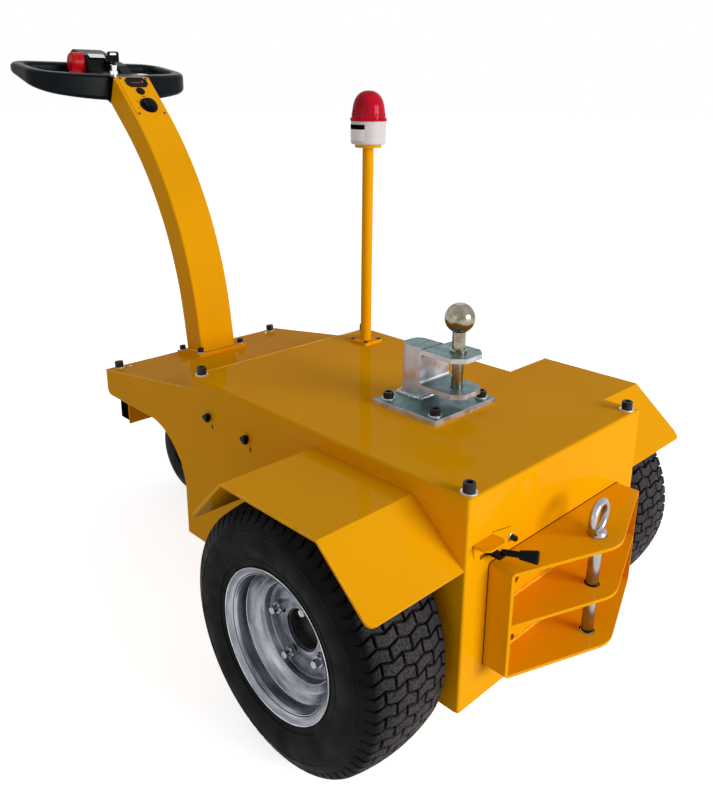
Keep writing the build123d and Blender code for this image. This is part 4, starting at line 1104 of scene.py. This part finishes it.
beacon_lens()
for band in LABEL_BANDS:
    label_band(*band)

# ------------------------------------------------------------------ pod label
ramp_low, ramp_high = at(1133, 6, 1020.5), at(1148, 6, 1030.6)
ramp = (ramp_high - ramp_low).normalized()
ramp_out = Vector((-ramp.z, 0, ramp.x))
bm = bmesh.new()
spot = basis((ramp_low + ramp_high) / 2 + ramp_out * 0.0004, ramp_out, x_axis=-Y)
plate(bm, spot, rounded(40, (ramp_high - ramp_low).length / MM - 3, 1.5), 0.3, edge=0.1)
piece("pod_label", bm, "chassis", "white_plastic", material=M["label"])

# ------------------------------------------------------------------ headlamp bezels and glasses
BULBS = ((-13, -10), (-13, 10), (13, -10), (13, 10))
BULB_LENS = ((0, 2.1), (8.6, 2.1), (8.0, 3.0), (4.0, 3.8), (0, 4.1))


def headlamps():
    bezels, glasses = bmesh.new(), bmesh.new()
    for side, _ in SIDES:
        low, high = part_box(f"front_lamp_{side}")
        y, z = (low.y + high.y) / 2 / MM, (low.z + high.z) / 2 / MM
        spot = basis(at(ahead_of_axle(high.x), y, z), X, x_axis=Y)
        plate(bezels, spot, rounded(62, 52, 5), 1.6, edge=0.8)
        plate(glasses, spot, rounded(52, 42, 4), 0.6, edge=0.3, lift=1.55)
        for x, y in BULBS:
            rings(glasses, BULB_LENS, spot @ Matrix.Translation((x * MM, y * MM, 0)), 24)
    piece("lamp_bezels", bezels, "chassis", "grey_plastic", material=M["black_plastic"])
    piece("lamp_glasses", glasses, "chassis", "grey_plastic", material=M["glass"])


headlamps()

# ------------------------------------------------------------------ wheel holes in painted shade and rim edges in painted highlight
HOLE_CIRCLE, HOLE_LEAD = 46.0, -1.0
HOLE = ((0, 0), (6.4, 0), (6.4, 0.35), (0, 0.35))
# (radius, out from the wheel's middle, wire) of thin rings on the edges of the rim's steps, brighter than the
# rim as a painted highlight
RIM_EDGES = (
    (115.4, 75.8, 0.7),
    (103.4, 68.8, 0.45),
    (98.2, 50.0, 0.6),
    (77.2, 32.0, 0.5),
    (73.6, 23.0, 0.4),
    (82.2, 31.6, 0.4),
)


def rim_details(side, sign):
    bm = bmesh.new()
    for degrees in STUD_ANGLES:
        # each hole is a flat near-black disc on the rim, painted shade standing for the hole
        rings(bm, HOLE, on_disc(sign, HOLE_CIRCLE, math.radians(degrees + HOLE_LEAD), DISC_FACE - 0.1), 24)
    piece(f"wheel_hole_shades_{side}", bm, f"wheel_{side}", "dark_steel", material=M["hole"])
    bm = bmesh.new()
    hub_point = Vector((AXLE_X, sign * TRACK, WHEEL_Z))
    for radius, out, wire in RIM_EDGES:
        hoop(bm, hub_point + Y * sign * out * MM, X, Z, radius, wire, 120, 6)
    # thin rings brighter than the rim, a painted highlight on the step edges
    piece(f"rim_highlight_rings_{side}", bm, f"wheel_{side}", "galvanised", material=M["bright"])


for side, sign in SIDES:
    rim_details(side, sign)

# ------------------------------------------------------------------ coupling pin
PIN_RADIUS = 9.5
EYE_RADIUS, EYE_WIRE = 23.5, 6.2
EYE_TURN = math.radians(7.0)
EYE_DROP = 37.2  # from the top of the CAD pin down to the middle of the eye
COUPLER_SHEET = 5.0
RIM_RADIUS, RIM_WIRE = 10.85, 1.05
pin_low, pin_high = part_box("coupling_pin")
pin_x = ahead_of_axle(centre("coupling_pin").x)


def eye_pin():
    foot = pin_low.z / MM
    collar = coupler_high.z / MM - foot
    rows = (
        (0, 0),
        (8.0, 0),
        (PIN_RADIUS, 2.4),
        (PIN_RADIUS, collar - 0.1),
        (13.6, collar),
        (14.4, collar + 1.0),
        (13.2, collar + 7.2),
        (12.0, collar + 8.2),
        (0, collar + 8.2),
    )
    bm = bmesh.new()
    rings(bm, rows, basis(at(pin_x, 0, foot), Z), 48)
    across = Vector((-math.sin(EYE_TURN), math.cos(EYE_TURN), 0))
    hoop(bm, at(pin_x, 0, pin_high.z / MM - EYE_DROP), across, Z, EYE_RADIUS, EYE_WIRE, 72, 24)
    piece("eye_pin", bm, "coupling_pin", "zinc", material=M["pin"], replaces=("coupling_pin",), angle=40)


def pin_hole_shade_rims():
    """Dark rims in the shelf's and the lower plate's holes, painted shade in the gap round the pin, flush with
    the tops of both.
    """
    bm = bmesh.new()
    for top in (shelf_high.z / MM, coupler_low.z / MM + COUPLER_SHEET):
        hoop(bm, at(pin_x, 0, top - RIM_WIRE), X, Y, RIM_RADIUS, RIM_WIRE, 48, 6)
    piece("pin_hole_shade_rims", bm, "chassis", "dark_steel", material=M["hole"])


eye_pin()
pin_hole_shade_rims()

# ------------------------------------------------------------------ camera
PICTURE_WIDTH, PICTURE_HEIGHT = 713.0, 800.0
FOCAL_PX, MIDDLE_X, MIDDLE_Y = 809.94, 360.8, 338.84
SENSOR = 36.0
YAW, PITCH, ROLL = math.radians(-44.625), math.radians(17.24), math.radians(0.61)
CAMERA_PLACE = Vector((AXLE_X - 0.7683, 0.9909, 0.9599))

camera_data = bpy.data.cameras.new("photo_camera")
camera = bpy.data.objects.new("photo_camera", camera_data)
bpy.context.scene.collection.objects.link(camera)
bpy.context.scene.camera = camera
forward = Vector((math.cos(YAW) * math.cos(PITCH), math.sin(YAW) * math.cos(PITCH), -math.sin(PITCH)))
right = Vector((math.sin(YAW), -math.cos(YAW), 0))
up = right.cross(forward)
rolled_right = math.cos(ROLL) * right + math.sin(ROLL) * up
rolled_up = -math.sin(ROLL) * right + math.cos(ROLL) * up
pose = Matrix((rolled_right, rolled_up, -forward)).transposed().to_4x4()
pose.translation = CAMERA_PLACE
camera.matrix_world = pose
camera_data.sensor_width = SENSOR
camera_data.lens = FOCAL_PX / PICTURE_HEIGHT * SENSOR
camera_data.shift_x = -(MIDDLE_X - PICTURE_WIDTH / 2) / PICTURE_HEIGHT
camera_data.shift_y = -(PICTURE_HEIGHT / 2 - MIDDLE_Y) / PICTURE_HEIGHT
camera_data.clip_start = 0.02

# ------------------------------------------------------------------ light, world and floor
AMBIENT = 0.34
FLOOR_GLOW = 0.74
FLOOR_SHADE = 0.86


def area_light(name, place, target, size, power):
    data = bpy.data.lights.new(name, "AREA")
    data.shape = "RECTANGLE"
    data.size, data.size_y = size
    data.energy = power
    lamp = bpy.data.objects.new(name, data)
    bpy.context.scene.collection.objects.link(lamp)
    lamp.location = place
    lamp.rotation_euler = (Vector(target) - Vector(place)).to_track_quat("-Z", "Y").to_euler()


def sees_background(tree):
    """1 for rays that see the background itself: camera, glossy and transmission rays."""
    path = tree.nodes.new("ShaderNodeLightPath")
    found = path.outputs["Is Camera Ray"]
    for ray in ("Is Glossy Ray", "Is Transmission Ray"):
        either = tree.nodes.new("ShaderNodeMath")
        either.operation = "MAXIMUM"
        tree.links.new(found, either.inputs[0])
        tree.links.new(path.outputs[ray], either.inputs[1])
        found = either.outputs[0]
    return found


def pale_world():
    """White where it is seen, and an even light of AMBIENT on the object."""
    world = bpy.data.worlds.new("studio")
    bpy.context.scene.world = world
    world.use_nodes = True
    tree = world.node_tree
    background = tree.nodes["Background"]
    background.inputs["Color"].default_value = (1, 1, 1, 1)
    strength = tree.nodes.new("ShaderNodeMapRange")
    strength.inputs["To Min"].default_value = AMBIENT
    strength.inputs["To Max"].default_value = 1.0
    tree.links.new(sees_background(tree), strength.inputs["Value"])
    tree.links.new(strength.outputs["Result"], background.inputs["Strength"])


def pale_floor():
    bm = bmesh.new()
    bmesh.ops.create_grid(bm, x_segments=2, y_segments=2, size=30)
    mesh = bpy.data.meshes.new("floor")
    bm.to_mesh(mesh)
    bm.free()
    floor = bpy.data.objects.new("floor", mesh)
    bpy.context.scene.collection.objects.link(floor)
    floor.location.z = cad_box[0].z - 0.0005
    material = bpy.data.materials.new("pale_floor")
    material.use_nodes = True
    tree = material.node_tree
    bsdf = tree.nodes["Principled BSDF"]
    bsdf.inputs["Base Color"].default_value = (FLOOR_SHADE, FLOOR_SHADE, FLOOR_SHADE, 1)
    bsdf.inputs["Roughness"].default_value = 0.9
    bsdf.inputs["Emission Color"].default_value = (1, 1, 1, 1)
    glow = tree.nodes.new("ShaderNodeMath")
    glow.operation = "MULTIPLY"
    glow.inputs[1].default_value = FLOOR_GLOW
    tree.links.new(sees_background(tree), glow.inputs[0])
    tree.links.new(glow.outputs[0], bsdf.inputs["Emission Strength"])
    mesh.materials.append(material)


area_light("key_softbox", (-9.8, -2.7, 2.9), (0, 0, 0.4), (5.6, 3.6), 790)
area_light("side_softbox", (-0.6, 4.4, 1.6), (0, 0, 0.3), (3.0, 1.8), 12)
pale_world()
pale_floor()

scene = bpy.context.scene
scene.view_settings.view_transform = "Standard"
